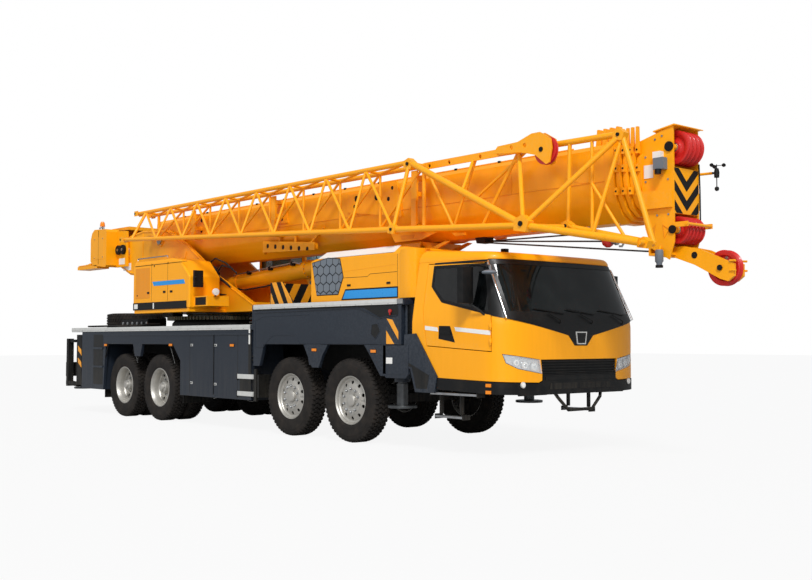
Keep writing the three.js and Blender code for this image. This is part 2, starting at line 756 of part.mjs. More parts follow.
// A mirror hangs on two arms from the front of its door, and swings with it.
function mirror(side) {
  const [a, b] = side > 0 ? [mirrorIn, mirrorOut] : [-mirrorOut, -mirrorIn];
  const middle = side * (mirrorIn + 60);
  const shell = slab([
    [mirrorAt - 40, a], [mirrorAt + 90, a + 20], [mirrorAt + 90, b - 20], [mirrorAt - 40, b],
  ], 1930, 2430);
  const high = rod([mirrorAt + 40, middle, 2405], [doorFront - 190, side * 1240, 2405], 17, 8);
  const low = rod([mirrorAt + 40, middle, 1950], [doorFront - 110, side * 1340, 1770], 17, 8);
  return cut(join(shell, high, low), cabBlock(-seatGap));
}
for (const side of [1, -1]) {
  add(`mirror_${sideName(side)}`, mirror(side), "black");
}

// ---------------------------------------------------------------- superstructure
const plateOut = plateIn + plateThick;
const baseTop = ringTop + 60;

function turntable() {
  const side = [
    [-3700, baseTop - 30], [-6500, baseTop - 30], [-7560, 2760], [-8440, 2860],
    [weight.back + 660, 3100], [weight.back + 660, 3560], [-8440, 3690], [-7900, 3750],
    [-6850, 3690], [-5980, 3300], [-5300, 2900], [-4940, 2680], [-3700, 2130],
  ];
  const plates = bothSides((end) => {
    const y = end * (plateIn + plateThick / 2);
    return sidePlate(side, y - plateThick / 2, y + plateThick / 2);
  });
  const base = join(
    block(-6760, -3720, -plateOut, plateOut, ringTop, baseTop),
    block(-6760, -4680, -1290, 1290, ringTop, baseTop),
    block(-5340, -3780, 400, 1310, ringTop, baseTop),
  );
  const ring = rod([slewAt, 0, ringBottom], [slewAt, 0, ringTop + 20], ringRadius, 24);
  const bulkhead = block(-6480, -6430, -plateIn - 10, plateIn + 10, baseTop - 20, 2740);
  const floor = block(-7500, -6440, -plateIn - 10, plateIn + 10, 2690, 2740);
  const front = block(-3800, -3740, -plateIn - 10, plateIn + 10, baseTop - 20, 2160);
  const foot = pinAlongY(footPin.x, footPin.z, footPin.r, plateOut);
  const lift = pinAlongY(liftPin.x, liftPin.z, liftPin.r, plateOut);
  return join(plates, base, ring, bulkhead, floor, front, foot, lift);
}
add("turntable", turntable(), "yellow");

function sideHousing() {
  const side = [
    [housing.back, baseTop + seatGap], [housing.front, baseTop + seatGap],
    [housing.front, 2640], [housing.front - 330, 2940], [housing.front - 700, housing.top],
    [housing.back, housing.top],
  ];
  const body = sidePlate(side, -housing.out, -housing.inn);
  const edge = bar([
    [-housing.out, 2000], [-housing.inn, 2000], [-housing.inn, 3100],
    [70 - housing.out, 3100], [-housing.out, housing.top - 120],
  ], housing.back, housing.front);
  return common(body, edge);
}
add("side_housing", sideHousing(), "yellow");

function counterweight() {
  const side = [
    [weight.back, weight.bottom + 100], [weight.back + 60, weight.bottom],
    [weight.front, weight.bottom], [weight.front, weight.top - 60],
    [weight.back + 420, weight.top], [weight.back + 160, weight.top - 60],
    [weight.back + 30, weight.top - 230],
  ];
  const bulk = sidePlate(side, -weight.half, weight.half);
  const well = block(weight.back + 650, weight.front + 10, -plateOut - 26, plateOut + 26,
    weight.bottom - 10, weight.top + 10);
  const arms = bothSides((end) => {
    const [a, b] = end > 0 ? [560, weight.half] : [-weight.half, -560];
    return block(-10350, weight.back + 200, a, b, weight.bottom + 6, weight.bottom + 76);
  });
  const lugs = bothSides((end) => {
    const [a, b] = end > 0 ? [plateOut + seatGap, plateOut + 60] : [-plateOut - 60, -plateOut - seatGap];
    return block(-8900, -8600, a, b, 3200, 3500);
  });
  return join(cut(bulk, well), arms, lugs);
}
add("counterweight", counterweight(), "yellow");

function winch() {
  const half = plateIn - seatGap;
  const profile = [
    [0, -half], [60, -half], [60, -half + 40], [225, -half + 40], [225, -half + 70],
    [165, -half + 70], [165, half - 70], [225, half - 70], [225, half - 40],
    [60, half - 40], [60, half], [0, half],
  ];
  return solid(new THREE.LatheGeometry(profile.map(([r, y]) => new THREE.Vector2(r, y)), 14));
}
add("winch_main", winch(), "steel", [winchAt[0], 0, winchZ]);
add("winch_auxiliary", winch(), "steel", [winchAt[1], 0, winchZ - 60]);

// Side view of the operator's cab, drawn in by inset
const opOutline = (inset) => [
  [opCab.back + inset, opCab.bottom + inset], [opCab.front - inset, opCab.bottom + inset],
  [opCab.front + 60 - inset, 2550], [opCab.front - 190 - inset, opCab.top - 120 - inset],
  [opCab.front - 330 - inset, opCab.top - inset], [opCab.back + inset, opCab.top - inset],
];

const opDoor = { back: -4700, front: -3960, bottom: 2130, top: 3440, thick: 38 };

function operatorCab() {
  const outer = sidePlate(opOutline(0), opCab.inn, opCab.out);
  const inner = sidePlate(opOutline(opCab.wall), opCab.inn + opCab.wall, opCab.out - opCab.wall);
  const front = block(opCab.front - 400, opCab.front + 100, opCab.inn + 90, opCab.out - 90, 2300, 3380);
  const roof = block(opCab.back + 300, opCab.front - 460, opCab.inn + 110, opCab.out - 110, 3400, 3700);
  const windowIn = sidePlate([
    [-5150, 2750], [-4000, 2750], [-4120, 3370], [-5150, 3370],
  ], opCab.inn - 10, opCab.inn + 100);
  const windowOut = block(-5260, -4800, opCab.out - 100, opCab.out + 10, 2800, 3370);
  const doorway = sidePlate([
    [opDoor.back + 50, opDoor.bottom + 40], [opDoor.front - 30, opDoor.bottom + 40],
    [opDoor.front - 40, 2600], [opDoor.front - 230, opDoor.top - 50], [opDoor.back + 50, opDoor.top - 50],
  ], opCab.out - 100, opCab.out + 10);
  const seat = join(
    block(-4880, -4480, 860, 1120, opCab.bottom + 40, 2420),
    block(-4950, -4450, 760, 1220, 2400, 2560),
    block(-5060, -4930, 770, 1210, 2480, 3180),
  );
  const rail = (low) => block(opCab.back + 20, opDoor.front + 30, opCab.out - 10,
    opCab.out + runGap + opDoor.thick, low, low + 30);
  return join(cut(outer, inner, front, roof, windowIn, windowOut, doorway), seat,
    rail(opDoor.top + pinGap), rail(opDoor.bottom - 30 - pinGap));
}
add("operator_cab", operatorCab(), "yellow");

function operatorDoor() {
  const y = opCab.out + runGap;
  const leaf = sidePlate([
    [opDoor.back, opDoor.bottom], [opDoor.front, opDoor.bottom], [opDoor.front, 2600],
    [opDoor.front - 190, opDoor.top], [opDoor.back, opDoor.top],
  ], y, y + opDoor.thick);
  const pane = sidePlate([
    [opDoor.back + 90, 2700], [opDoor.front - 110, 2700],
    [opDoor.front - 260, opDoor.top - 100], [opDoor.back + 90, opDoor.top - 100],
  ], y - 10, y + opDoor.thick + 10);
  return cut(leaf, pane);
}
add("operator_door", operatorDoor(), "yellow");

// ---------------------------------------------------------------- lift cylinder
const liftAngle = Math.atan2(eyePin.z - liftPin.z, eyePin.x - liftPin.x);
const liftLength = Math.hypot(eyePin.z - liftPin.z, eyePin.x - liftPin.x);
const barrelEnd = liftLength - 260;

// A round piece on the cylinder's own axis, from a to b counted from the lower pin.
const onAxis = (a, b, radius, sides = 16) => {
  const at = (d) => [liftPin.x + d * Math.cos(liftAngle), 0, liftPin.z + d * Math.sin(liftAngle)];
  return rod(at(a), at(b), radius, sides);
};

function liftBarrel() {
  const eye = pinAlongY(liftPin.x, liftPin.z, 130, eyeWidth / 2, 16);
  const bore = holeAlongY(liftPin.x, liftPin.z, liftPin.r, eyeWidth);
  const tube = onAxis(90, barrelEnd, barrelRadius);
  const room = onAxis(230, barrelEnd + 10, rodRadius + pinGap);
  return cut(join(eye, tube), bore, room);
}
add("lift_barrel", liftBarrel(), "yellow");

function liftRod() {
  const eye = pinAlongY(eyePin.x, eyePin.z, 115, eyeWidth / 2, 16);
  const bore = pinAlongY(eyePin.x, eyePin.z, eyePin.r, eyeWidth, 16);
  return cut(join(onAxis(300, liftLength - 60, rodRadius), eye), bore);
}
add("lift_rod", liftRod(), "steel");

// ---------------------------------------------------------------- boom
// End view of the boom [y, z]: flat top, straight upper sides and a rounded belly.
function boomSection(inset) {
  const half = boomHalf - inset;
  const top = boomTop - inset;
  const low = boomBottom + inset;
  const shoulderZ = 3440;
  const right = [[-half + 60, top], [-half, top - 60], [-half, shoulderZ]];
  const steps = 3;
  for (let i = 1; i <= steps; i += 1) {
    const turn = (i / steps) * Math.PI * 0.4;
    right.push([-half * Math.cos(turn), shoulderZ - (shoulderZ - low) * Math.sin(turn) / Math.sin(Math.PI * 0.4)]);
  }
  const left = right.slice().reverse().map(([y, z]) => [-y, z]);
  return right.concat(left);
}

const boomTube = (inset, back, front) => cut(
  bar(boomSection(inset), back, front),
  bar(boomSection(inset + boomWall), back - 10, front + 10),
);

// The jib's four chords: the lower outer one falls towards the front.
const jibLow = (x) => 3450 - (x + 6770) * 0.0538;
const jibCorner = {
  topIn: (x) => [x, jibIn, jibTop - 20],
  topOut: (x) => [x, jibTopOut, jibTop],
  lowIn: (x) => [x, jibIn, jibLow(x) + 70],
  lowOut: (x) => [x, jibOut, jibLow(x)],
};

const collarStart = (index) => boomFront + index * collar + (index + 1) * runGap;

// The wear pad in a section's mouth on which the next section slides.
function pad(index) {
  const inset = nest * index;
  const end = index ? collarStart(index - 1) + collar : boomFront;
  const low = boomBottom + inset + boomWall - 4;
  return block(end - 120, end, -110, 110, low, boomBottom + inset + nest - pinGap);
}

function boomBase() {
  const tube = boomTube(0, boomBack, boomFront);
  const ring = (x, long) => cut(
    bar(boomSection(-collarRim), x, x + long),
    bar(boomSection(boomWall), x - 10, x + long + 10),
  );
  const bosses = cut(
    bothSides((side) => rod([footPin.x, side * (boomHalf - 5), footPin.z],
      [footPin.x, side * (plateIn - runGap), footPin.z], 150, 16)),
    block(-8000, -6000, 10 - boomHalf, boomHalf - 10, 3000, 4000),
  );
  const lugs = bothSides((side) => {
    const y = side * (rodRadius + 8 + 25);
    const lug = [
      [eyePin.x - 260, boomBottom + 40], [eyePin.x - 110, eyePin.z - 90], [eyePin.x, eyePin.z - 125],
      [eyePin.x + 110, eyePin.z - 90], [eyePin.x + 260, boomBottom + 40],
    ];
    return cut(sidePlate(lug, y - 25, y + 25), pinAlongY(eyePin.x, eyePin.z, eyePin.r, 200));
  });
  const brackets = join(...jibBrackets.map((x) =>
    block(x - 50, x + 50, jibIn, -200, jibLow(x) + 20, jibLow(x) + 120)));
  const comb = join(...[0, 1, 2, 3].map((tooth) => {
    const x = boomFront - combLong + tooth * combStep;
    return sidePlate([
      [x, boomTop - 10], [x + 80, boomTop - 10], [x + 55, combTop], [x + 25, combTop],
    ], -boomHalf + 110, -boomHalf + 200);
  }));
  const foot = holeAlongY(footPin.x, footPin.z, footPin.r, plateIn);
  const plugs = cut(lugs, bar(boomSection(boomWall), -3000, 0));
  const chord = rod(jibCorner.lowIn(jibBack), jibCorner.lowIn(jibBend), chordRadius + pinGap, 6);
  return join(cut(join(tube, ring(boomFront - 140, 140), bosses), foot), plugs, comb,
    cut(brackets, bar(boomSection(boomWall), -8000, 3000), chord), pad(0));
}

function movingSection(index) {
  const inset = nest * (index + 1);
  const start = collarStart(index);
  const tube = boomTube(inset, sectionBack[index], start + collar);
  const rim = cut(
    bar(boomSection(nest * index + 10), start, start + collar),
    bar(boomSection(inset + boomWall), start - 10, start + collar + 10),
  );
  return join(tube, rim, pad(index + 1));
}

function boomTip() {
  const index = 3;
  const inset = nest * (index + 1);
  const start = collarStart(index);
  const tube = boomTube(inset, sectionBack[index], headBack + 120);
  const rim = cut(
    bar(boomSection(nest * index + 10), start, start + collar),
    bar(boomSection(inset + boomWall), start - 10, start + collar + 10),
  );
  const side = [
    [headBack - 30, 3905], [headFront, headTop], [headFront, 2660], [headFront - 75, headBottom],
    [headBack + 140, headBottom + 150], [headBack + 60, 2820], [headBack, 3060], [headBack, 3600],
  ];
  const plates = bothSides((end) => {
    const y = end * (headHalf - headPlate / 2);
    return sidePlate(side, y - headPlate / 2, y + headPlate / 2);
  });
  const between = headHalf - headPlate / 2;
  const cap = sidePlate([
    [headBack + 200, headTop - 56], [headFront + 24, headTop - 4], [headFront + 24, headTop + 16],
    [headBack + 200, headTop - 36],
  ], -between, between);
  const web = join(
    block(headFront - 24, headFront, -between, between, 2990, 3540),
    block(headBack + 60, headFront - 10, -between, between, 2990, 3020),
    block(headBack + 90, headBack + 114, -between, between, 2500, 3010),
  );
  const arms = bothSides((end) => {
    const y = end * 95;
    return sidePlate([
      [headBack + 100, 2560], [headBack + 120, 2600], [headFront + 30, 2600], [headFront + 255, 2550],
      [noseSheave.x + 180, 2360], [noseSheave.x + 180, 2220], [noseSheave.x + 100, 2160],
      [noseSheave.x, 2190], [headFront + 175, 2370], [headFront - 70, headBottom + 20],
    ], y - 20, y + 20);
  });
  const spread = block(headBack + 110, headFront - 80, -between, between, 2500, 2530);
  const nosePin = pinAlongY(noseSheave.x, noseSheave.z, noseShaft, 125);
  const lowPin = pinAlongY(lowSheave.x, lowSheave.z, headShaft, between);
  const topPin = pinAlongY(headSheave.x, headSheave.z, headShaft, between);
  return join(tube, rim, plates, cap, web, arms, spread, nosePin, lowPin, topPin);
}

const sheaveBore = (shaft) => (shaft + pinGap) / Math.cos(Math.PI / sheaveSides);

function sheaveRing(radius, bore, y) {
  const half = sheaveThick / 2;
  const profile = [
    [bore, -half], [90, -half], [radius - 50, -14], [radius, -half],
    [radius - 24, 0], [radius, half], [radius - 50, 14], [90, half], [bore, half],
  ];
  const points = profile.map(([r, out]) => new THREE.Vector2(r, out + y));
  return solid(new THREE.LatheGeometry(points.concat(points[0].clone()), sheaveSides,
    Math.PI / sheaveSides));
}

add("boom_base", boomBase(), "yellow");
for (let index = 0; index < 3; index += 1) {
  add(`boom_section_${index + 2}`, movingSection(index), "yellow");
}
add("boom_tip", boomTip(), "yellow");

// Sheaves side by side on one hub, their centres at the given places along the shaft
function sheaveSet(radius, places) {
  const bore = sheaveBore(headShaft);
  const end = Math.max(...places) + sheaveThick / 2;
  const hub = new THREE.LatheGeometry([
    [bore, -end], [70, -end], [70, end], [bore, end], [bore, -end],
  ].map(([r, y]) => new THREE.Vector2(r, y)), sheaveSides, Math.PI / sheaveSides);
  return join(solid(hub), ...places.map((y) => sheaveRing(radius, bore, y)));
}
add("head_sheaves", sheaveSet(headSheave.r, [-sheaveStep, sheaveStep]), "red",
  [headSheave.x, 0, headSheave.z]);
add("lower_sheaves", sheaveSet(lowSheave.r, [-sheaveStep * 1.5, 0, sheaveStep * 1.5]), "red",
  [lowSheave.x, 0, lowSheave.z]);
add("nose_sheave", sheaveRing(noseSheave.r, sheaveBore(noseShaft), 0), "red", [noseSheave.x, 0, noseSheave.z]);

// ---------------------------------------------------------------- lattice jib
function latticeJib() {
  const corner = jibCorner;
  const chord = (name) => rod(corner[name](jibBack), corner[name](jibBend), chordRadius, 6);
  const lace = (from, to) => rod(from, to, laceRadius, 4);
  const parts = Object.keys(corner).map(chord);
  const step = (jibBend - jibBack) / jibBays;
  for (let bay = 0; bay < jibBays; bay += 1) {
    const x0 = jibBack + bay * step;
    const x1 = x0 + step / 2;
    const x2 = x0 + step;
    parts.push(
      lace(corner.lowOut(x0), corner.topOut(x1)),
      lace(corner.topOut(x1), corner.lowOut(x2)),
      lace(corner.lowIn(x0), corner.topIn(x1)),
      lace(corner.topIn(x1), corner.lowIn(x2)),
    );
    if (bay > 0) {
      parts.push(lace(corner.topIn(x0), corner.topOut(x0)), lace(corner.lowIn(x0), corner.lowOut(x0)));
    }
  }
  const ring = ["topIn", "topOut", "lowOut", "lowIn"];
  for (const x of [jibBack, jibBend]) {
    ring.forEach((name, i) => {
      parts.push(rod(corner[name](x), corner[ring[(i + 1) % 4]](x), chordRadius - 8, 6));
    });
  }
  const apex = [3300, -1190, 2900];
  const tail = [4860, -960, 2600];
  const tailIn = [4860, -680, 2600];
  const top = [4400, -650, 3950];
  const shin = [3560, -650, 2900];
  const tube = (from, to, radius = chordRadius) => parts.push(rod(from, to, radius, 6));
  tube(corner.topOut(jibBend), apex);
  tube(corner.topIn(jibBend), top);
  tube(corner.lowOut(jibBend), apex);
  tube(corner.lowIn(jibBend), shin);
  tube(apex, tail, 46);
  tube(shin, tailIn, 46);
  tube(tail, tailIn);
  tube(apex, shin);
  tube(top, tailIn);
  tube(top, apex, 30);
  tube([2740, -650, 3964], apex, 30);
  tube([2740, -650, 3964], [2060, -658, 3016], 24);
  tube([3600, -650, 3956], shin, 24);
  tube([1900, -650, 3975], [2060, -1030, 3480], laceRadius);
  return join(...parts);
}
add("lattice_jib", latticeJib(), "yellow");

// ---------------------------------------------------------------- origin
const reach = new THREE.Box3().setFromObject(model);
model.position.set(-(reach.min.x + reach.max.x) / 2, 0, 0);

export default crane;
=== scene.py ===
import bpy
import bmesh
import json
import math
from mathutils import Matrix, Vector
from mathutils import geometry as flatGeometry


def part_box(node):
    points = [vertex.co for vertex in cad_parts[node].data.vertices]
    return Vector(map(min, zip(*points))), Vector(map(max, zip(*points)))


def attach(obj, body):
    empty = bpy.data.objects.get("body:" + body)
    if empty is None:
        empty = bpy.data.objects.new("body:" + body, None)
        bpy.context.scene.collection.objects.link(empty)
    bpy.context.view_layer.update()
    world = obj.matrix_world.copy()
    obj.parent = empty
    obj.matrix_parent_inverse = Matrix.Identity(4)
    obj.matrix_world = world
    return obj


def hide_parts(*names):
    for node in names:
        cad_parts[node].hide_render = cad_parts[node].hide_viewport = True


# Lengths are in metres. x runs forward from the first axle, y to the crane's left, z up from the ground.
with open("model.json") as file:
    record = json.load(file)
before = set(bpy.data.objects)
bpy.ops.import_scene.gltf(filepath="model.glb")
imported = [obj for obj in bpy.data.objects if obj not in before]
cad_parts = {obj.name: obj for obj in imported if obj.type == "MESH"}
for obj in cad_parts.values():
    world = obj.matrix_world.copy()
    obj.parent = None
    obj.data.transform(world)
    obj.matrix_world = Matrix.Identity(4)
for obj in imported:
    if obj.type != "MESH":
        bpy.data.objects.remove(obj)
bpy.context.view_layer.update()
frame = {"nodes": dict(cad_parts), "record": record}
axleLow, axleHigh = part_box("axle_1")
shift = (axleLow.x + axleHigh.x) / 2  # from the first axle to the middle of the frame
print("frame loaded, first axle at", round(shift, 3))


# Camera, floor and light
stageLook = {"lens": 47.06, "spot": (12.162, -10.895, 1.481), "azimuth": 48.73, "elevation": -2.72,
             "worldLight": 0.42, "worldTint": (0.93, 0.96, 1, 1), "floorShade": (0.5, 0.5, 0.5, 1),
             "floorWhite": 0.9, "floorReach": 90, "sunLight": 2.5, "sunSoftness": 0.25,
             "sunFrom": (0.62, -0.48, 0.82), "keyLight": 420.0, "fillLight": 110.0}


def addObject(name, data):
    obj = bpy.data.objects.new(name, data)
    bpy.context.scene.collection.objects.link(obj)
    return obj


# Feeds a node's inputs, each from a socket or with a plain value
def wire(tree, node, wires):
    for key, value in dict(wires).items():
        if isinstance(value, bpy.types.NodeSocket):
            tree.links.new(value, node.inputs[key])
        else:
            node.inputs[key].default_value = value


def put(tree, kind, wires=(), **settings):
    node = tree.nodes.new(kind)
    for key, value in settings.items():
        setattr(node, key, value)
    wire(tree, node, wires)
    return node


def math2(tree, operation, a, b, clamp=False):
    return put(tree, "ShaderNodeMath", {0: a, 1: b}, operation=operation, use_clamp=clamp).outputs[0]


def startMaterial(name):
    material = bpy.data.materials.new(name)
    material.use_nodes = True
    return material, material.node_tree, material.node_tree.nodes["Principled BSDF"]


def setCamera():
    camera = addObject("camera", bpy.data.cameras.new("camera"))
    camera.data.sensor_width = 36
    camera.data.lens = stageLook["lens"]
    x, y, z = stageLook["spot"]
    camera.location = (x + shift, y, z)
    turn, rise = math.radians(stageLook["azimuth"]), math.radians(stageLook["elevation"])
    back = Vector((math.sin(turn) * math.cos(rise), -math.cos(turn) * math.cos(rise), math.sin(rise)))
    camera.rotation_mode = "QUATERNION"
    camera.rotation_quaternion = (-back).to_track_quat("-Z", "Y")
    bpy.context.scene.camera = camera
    bpy.context.scene.view_settings.view_transform = "Standard"


# 1 for rays that should see the white backdrop itself
def whiteRays(tree):
    path = tree.nodes.new("ShaderNodeLightPath")
    return math2(tree, "MAXIMUM", path.outputs["Is Camera Ray"], path.outputs["Is Transmission Ray"])


# Shows the second shader where part is 1, and sends the result to the output's surface
def blendShaders(tree, part, first, second, output):
    mix = put(tree, "ShaderNodeMixShader", {0: part, 1: first.outputs[0], 2: second.outputs[0]})
    wire(tree, tree.nodes[output], {"Surface": mix.outputs[0]})


def setWorld():
    world = bpy.data.worlds.new("studio")
    bpy.context.scene.world = world
    world.use_nodes = True
    tree = world.node_tree
    light = tree.nodes["Background"]
    wire(tree, light, {"Color": stageLook["worldTint"], "Strength": stageLook["worldLight"]})
    white = put(tree, "ShaderNodeBackground", {"Color": (1, 1, 1, 1)})
    blendShaders(tree, whiteRays(tree), light, white, "World Output")


def setFloor():
    reach = stageLook["floorReach"]
    mesh = bpy.data.meshes.new("floor")
    mesh.from_pydata([(-reach, -reach, 0), (reach, -reach, 0), (reach, reach, 0), (-reach, reach, 0)], [],
                     [(0, 1, 2, 3)])
    pale, tree, ground = startMaterial("paleFloor")
    wire(tree, ground, {"Base Color": stageLook["floorShade"], "Roughness": 0.9, "Specular IOR Level": 0.1})
    glow = put(tree, "ShaderNodeEmission", {"Strength": 1.0})
    part = math2(tree, "MULTIPLY", whiteRays(tree), stageLook["floorWhite"])
    blendShaders(tree, part, ground, glow, "Material Output")
    mesh.materials.append(pale)
    addObject("floor", mesh)


def setLamps():
    sun = addObject("sun", bpy.data.lights.new("sun", "SUN"))
    sun.data.energy = stageLook["sunLight"]
    sun.data.angle = stageLook["sunSoftness"]
    sun.rotation_euler = Vector(stageLook["sunFrom"]).to_track_quat("Z", "Y").to_euler()
    for name, spot, size, power in (("keyPanel", (9, -14, 7), 7, stageLook["keyLight"]),
                                    ("fillPanel", (-9, -13, 5), 8, stageLook["fillLight"])):
        lamp = addObject(name, bpy.data.lights.new(name, "AREA"))
        lamp.data.energy = power
        lamp.data.size = size
        lamp.location = (spot[0] + shift, spot[1], spot[2])
        lamp.rotation_euler = (Vector((shift, 0, 2)) - lamp.location).to_track_quat("-Z", "Y").to_euler()


setCamera()
setWorld()
setFloor()
setLamps()
print("camera and light set")


# Shader effects
def newGroup(name, ins, outs):
    group = bpy.data.node_groups.new(name, "ShaderNodeTree")
    for label, kind, value in ins:
        socket = group.interface.new_socket(name=label, in_out="INPUT", socket_type=kind)
        if value is not None:
            socket.default_value = value
    for label, kind in outs:
        group.interface.new_socket(name=label, in_out="OUTPUT", socket_type=kind)
    return group, group.nodes.new("NodeGroupInput"), group.nodes.new("NodeGroupOutput")


def blendColours(tree, part, a, b, how="MIX"):
    return put(tree, "ShaderNodeMix", {0: part, 6: a, 7: b}, data_type="RGBA", blend_type=how).outputs[2]


def spread(tree, value, low, high, to=(0, 1)):
    return put(tree, "ShaderNodeMapRange", {0: value, 1: low, 2: high, 3: to[0], 4: to[1]}).outputs[0]


colour, number, vector = "NodeSocketColor", "NodeSocketFloat", "NodeSocketVector"


# Slight unevenness of a coat, road dust low down and on top faces, pale rubbed edges
def makeWeathering():
    group, give, take = newGroup("weathering", [
        ("Colour", colour, (0.5, 0.5, 0.5, 1)), ("Worn Colour", colour, (0.8, 0.8, 0.8, 1)),
        ("Dust Colour", colour, (0.32, 0.27, 0.2, 1)), ("Unevenness", number, 0.06),
        ("Dust", number, 0.3), ("Wear", number, 0.3)],
        [("Colour", colour), ("Roughness Mask", number), ("Height", number)])
    place = put(group, "ShaderNodeTexCoord").outputs["Object"]
    broad = put(group, "ShaderNodeTexNoise", {"Vector": place, "Scale": 1.3, "Detail": 3}).outputs["Fac"]
    fine = put(group, "ShaderNodeTexNoise", {"Vector": place, "Scale": 34, "Detail": 4}).outputs["Fac"]
    tall = put(group, "ShaderNodeMapping", {"Vector": place, "Scale": (9, 9, 0.8)}).outputs[0]
    streak = put(group, "ShaderNodeTexNoise", {"Vector": tall, "Scale": 2.5, "Detail": 3}).outputs["Fac"]
    both = math2(group, "ADD", broad, streak)
    uneven = math2(group, "MULTIPLY", math2(group, "SUBTRACT", both, 1.0), give.outputs["Unevenness"])
    level = math2(group, "ADD", math2(group, "MULTIPLY", uneven, 3.0), 1.0)
    shade = put(group, "ShaderNodeHueSaturation", {"Value": level, "Color": give.outputs["Colour"]}).outputs[0]
    geometry = put(group, "ShaderNodeNewGeometry")
    up = put(group, "ShaderNodeSeparateXYZ", {0: geometry.outputs["Normal"]}).outputs[2]
    height = put(group, "ShaderNodeSeparateXYZ", {0: place}).outputs[2]
    low = spread(group, height, 1.5, 0.35)
    top = math2(group, "MULTIPLY", spread(group, up, 0.4, 1.0), 0.5)
    where = math2(group, "ADD", low, top)
    patchy = spread(group, streak, 0.35, 0.7)
    dust = math2(group, "MULTIPLY", math2(group, "MULTIPLY", where, patchy), give.outputs["Dust"], True)
    dusty = blendColours(group, dust, shade, give.outputs["Dust Colour"])
    edge = spread(group, geometry.outputs["Pointiness"], 0.53, 0.62)
    rubbed = math2(group, "MULTIPLY", math2(group, "MULTIPLY", edge, spread(group, fine, 0.42, 0.62)),
                   give.outputs["Wear"], True)
    out = blendColours(group, rubbed, dusty, give.outputs["Worn Colour"])
    rough = math2(group, "ADD", math2(group, "MULTIPLY", dust, 0.35),
                  math2(group, "MULTIPLY", math2(group, "SUBTRACT", fine, 0.5), 0.18))
    wire(group, take, {"Colour": out, "Roughness Mask": rough, "Height": fine})
    return group


# Fine pebbled grain of moulded plastic and rubber
def makeGrain():
    group, give, take = newGroup("grain", [("Size", number, 260.0), ("Mottle", number, 0.2)],
                                 [("Height", number), ("Mottle", number)])
    place = put(group, "ShaderNodeTexCoord").outputs["Object"]
    cells = put(group, "ShaderNodeTexVoronoi", {"Vector": place, "Scale": give.outputs["Size"]}).outputs["Distance"]
    cloud = put(group, "ShaderNodeTexNoise", {"Vector": place, "Scale": 7, "Detail": 5}).outputs["Fac"]
    wire(group, take, {"Height": cells, "Mottle": math2(group, "MULTIPLY", cloud, give.outputs["Mottle"])})
    return group


# Long fine lines left by rolling or turning metal
def makeBrushed():
    group, give, take = newGroup("brushed", [("Stretch", vector, (2.0, 120.0, 120.0)), ("Tarnish", number, 0.3)],
                                 [("Lines", number), ("Tarnish", number)])
    place = put(group, "ShaderNodeTexCoord").outputs["Object"]
    scaled = put(group, "ShaderNodeVectorMath", {0: place, 1: give.outputs["Stretch"]}, operation="MULTIPLY").outputs[0]
    lines = put(group, "ShaderNodeTexNoise", {"Vector": scaled, "Scale": 1, "Detail": 2}).outputs["Fac"]
    cloud = put(group, "ShaderNodeTexNoise", {"Vector": place, "Scale": 11, "Detail": 5}).outputs["Fac"]
    tarnish = math2(group, "MULTIPLY", spread(group, cloud, 0.4, 0.75), give.outputs["Tarnish"])
    wire(group, take, {"Lines": lines, "Tarnish": tarnish})
    return group


weathering, grain, brushed = makeWeathering(), makeGrain(), makeBrushed()


# An #rrggbb colour as linear light
def linear(code):
    parts = [int(code[i:i + 2], 16) / 255 for i in (1, 3, 5)]
    return tuple(c / 12.92 if c <= 0.04045 else ((c + 0.055) / 1.055) ** 2.4 for c in parts) + (1,)


def useGroup(tree, group, values):
    return put(tree, "ShaderNodeGroup", values, node_tree=group)


def addBump(tree, shader, height, strength, distance):
    bump = put(tree, "ShaderNodeBump", {"Height": height, "Strength": strength, "Distance": distance})
    wire(tree, shader, {"Normal": bump.outputs[0]})


# Paint or lacquer on metal
def coated(name, code, rough=0.4, worn="#B9B4AA", uneven=0.05, dust=0.25, wear=0.3, gloss=0.25):
    material, tree, shader = startMaterial(name)
    coat = useGroup(tree, weathering, {"Colour": linear(code), "Worn Colour": linear(worn), "Unevenness": uneven,
                                       "Dust": dust, "Wear": wear})
    wire(tree, shader, {"Base Color": coat.outputs["Colour"], "Metallic": 0.0, "Specular IOR Level": 0.3,
                        "Roughness": math2(tree, "ADD", coat.outputs["Roughness Mask"], rough, True),
                        "Coat Weight": gloss, "Coat Roughness": 0.12})
    addBump(tree, shader, coat.outputs["Height"], 0.12, 0.0006)
    return material


# Plastic or rubber with a grain and dry dust in it
def moulded(name, code, rough=0.6, size=260.0, depth=0.25, dusty="#5A5248", dust=0.25):
    material, tree, shader = startMaterial(name)
    skinGrain = useGroup(tree, grain, {"Size": size, "Mottle": 1.0})
    mask = math2(tree, "MULTIPLY", spread(tree, skinGrain.outputs["Mottle"], 0.42, 0.7), dust)
    wire(tree, shader, {"Base Color": blendColours(tree, mask, linear(code), linear(dusty)),
                        "Roughness": math2(tree, "ADD", math2(tree, "MULTIPLY", mask, 0.5), rough, True),
                        "Specular IOR Level": 0.25})
    addBump(tree, shader, skinGrain.outputs["Height"], depth, 0.0012)
    return material


# Bare or plated metal with drawn lines
def metal(name, code, rough=0.3, stretch=(2.0, 120.0, 120.0), tarnish=0.3, dull="#6E6A64", metallic=1.0):
    material, tree, shader = startMaterial(name)
    lines = useGroup(tree, brushed, {"Stretch": stretch, "Tarnish": tarnish})
    part = math2(tree, "MULTIPLY", lines.outputs["Lines"], 0.25)
    wire(tree, shader, {"Base Color": blendColours(tree, lines.outputs["Tarnish"], linear(code), linear(dull)),
                        "Roughness": math2(tree, "ADD", part, rough - 0.12, True), "Metallic": metallic})
    addBump(tree, shader, lines.outputs["Lines"], 0.08, 0.0008)
    return material


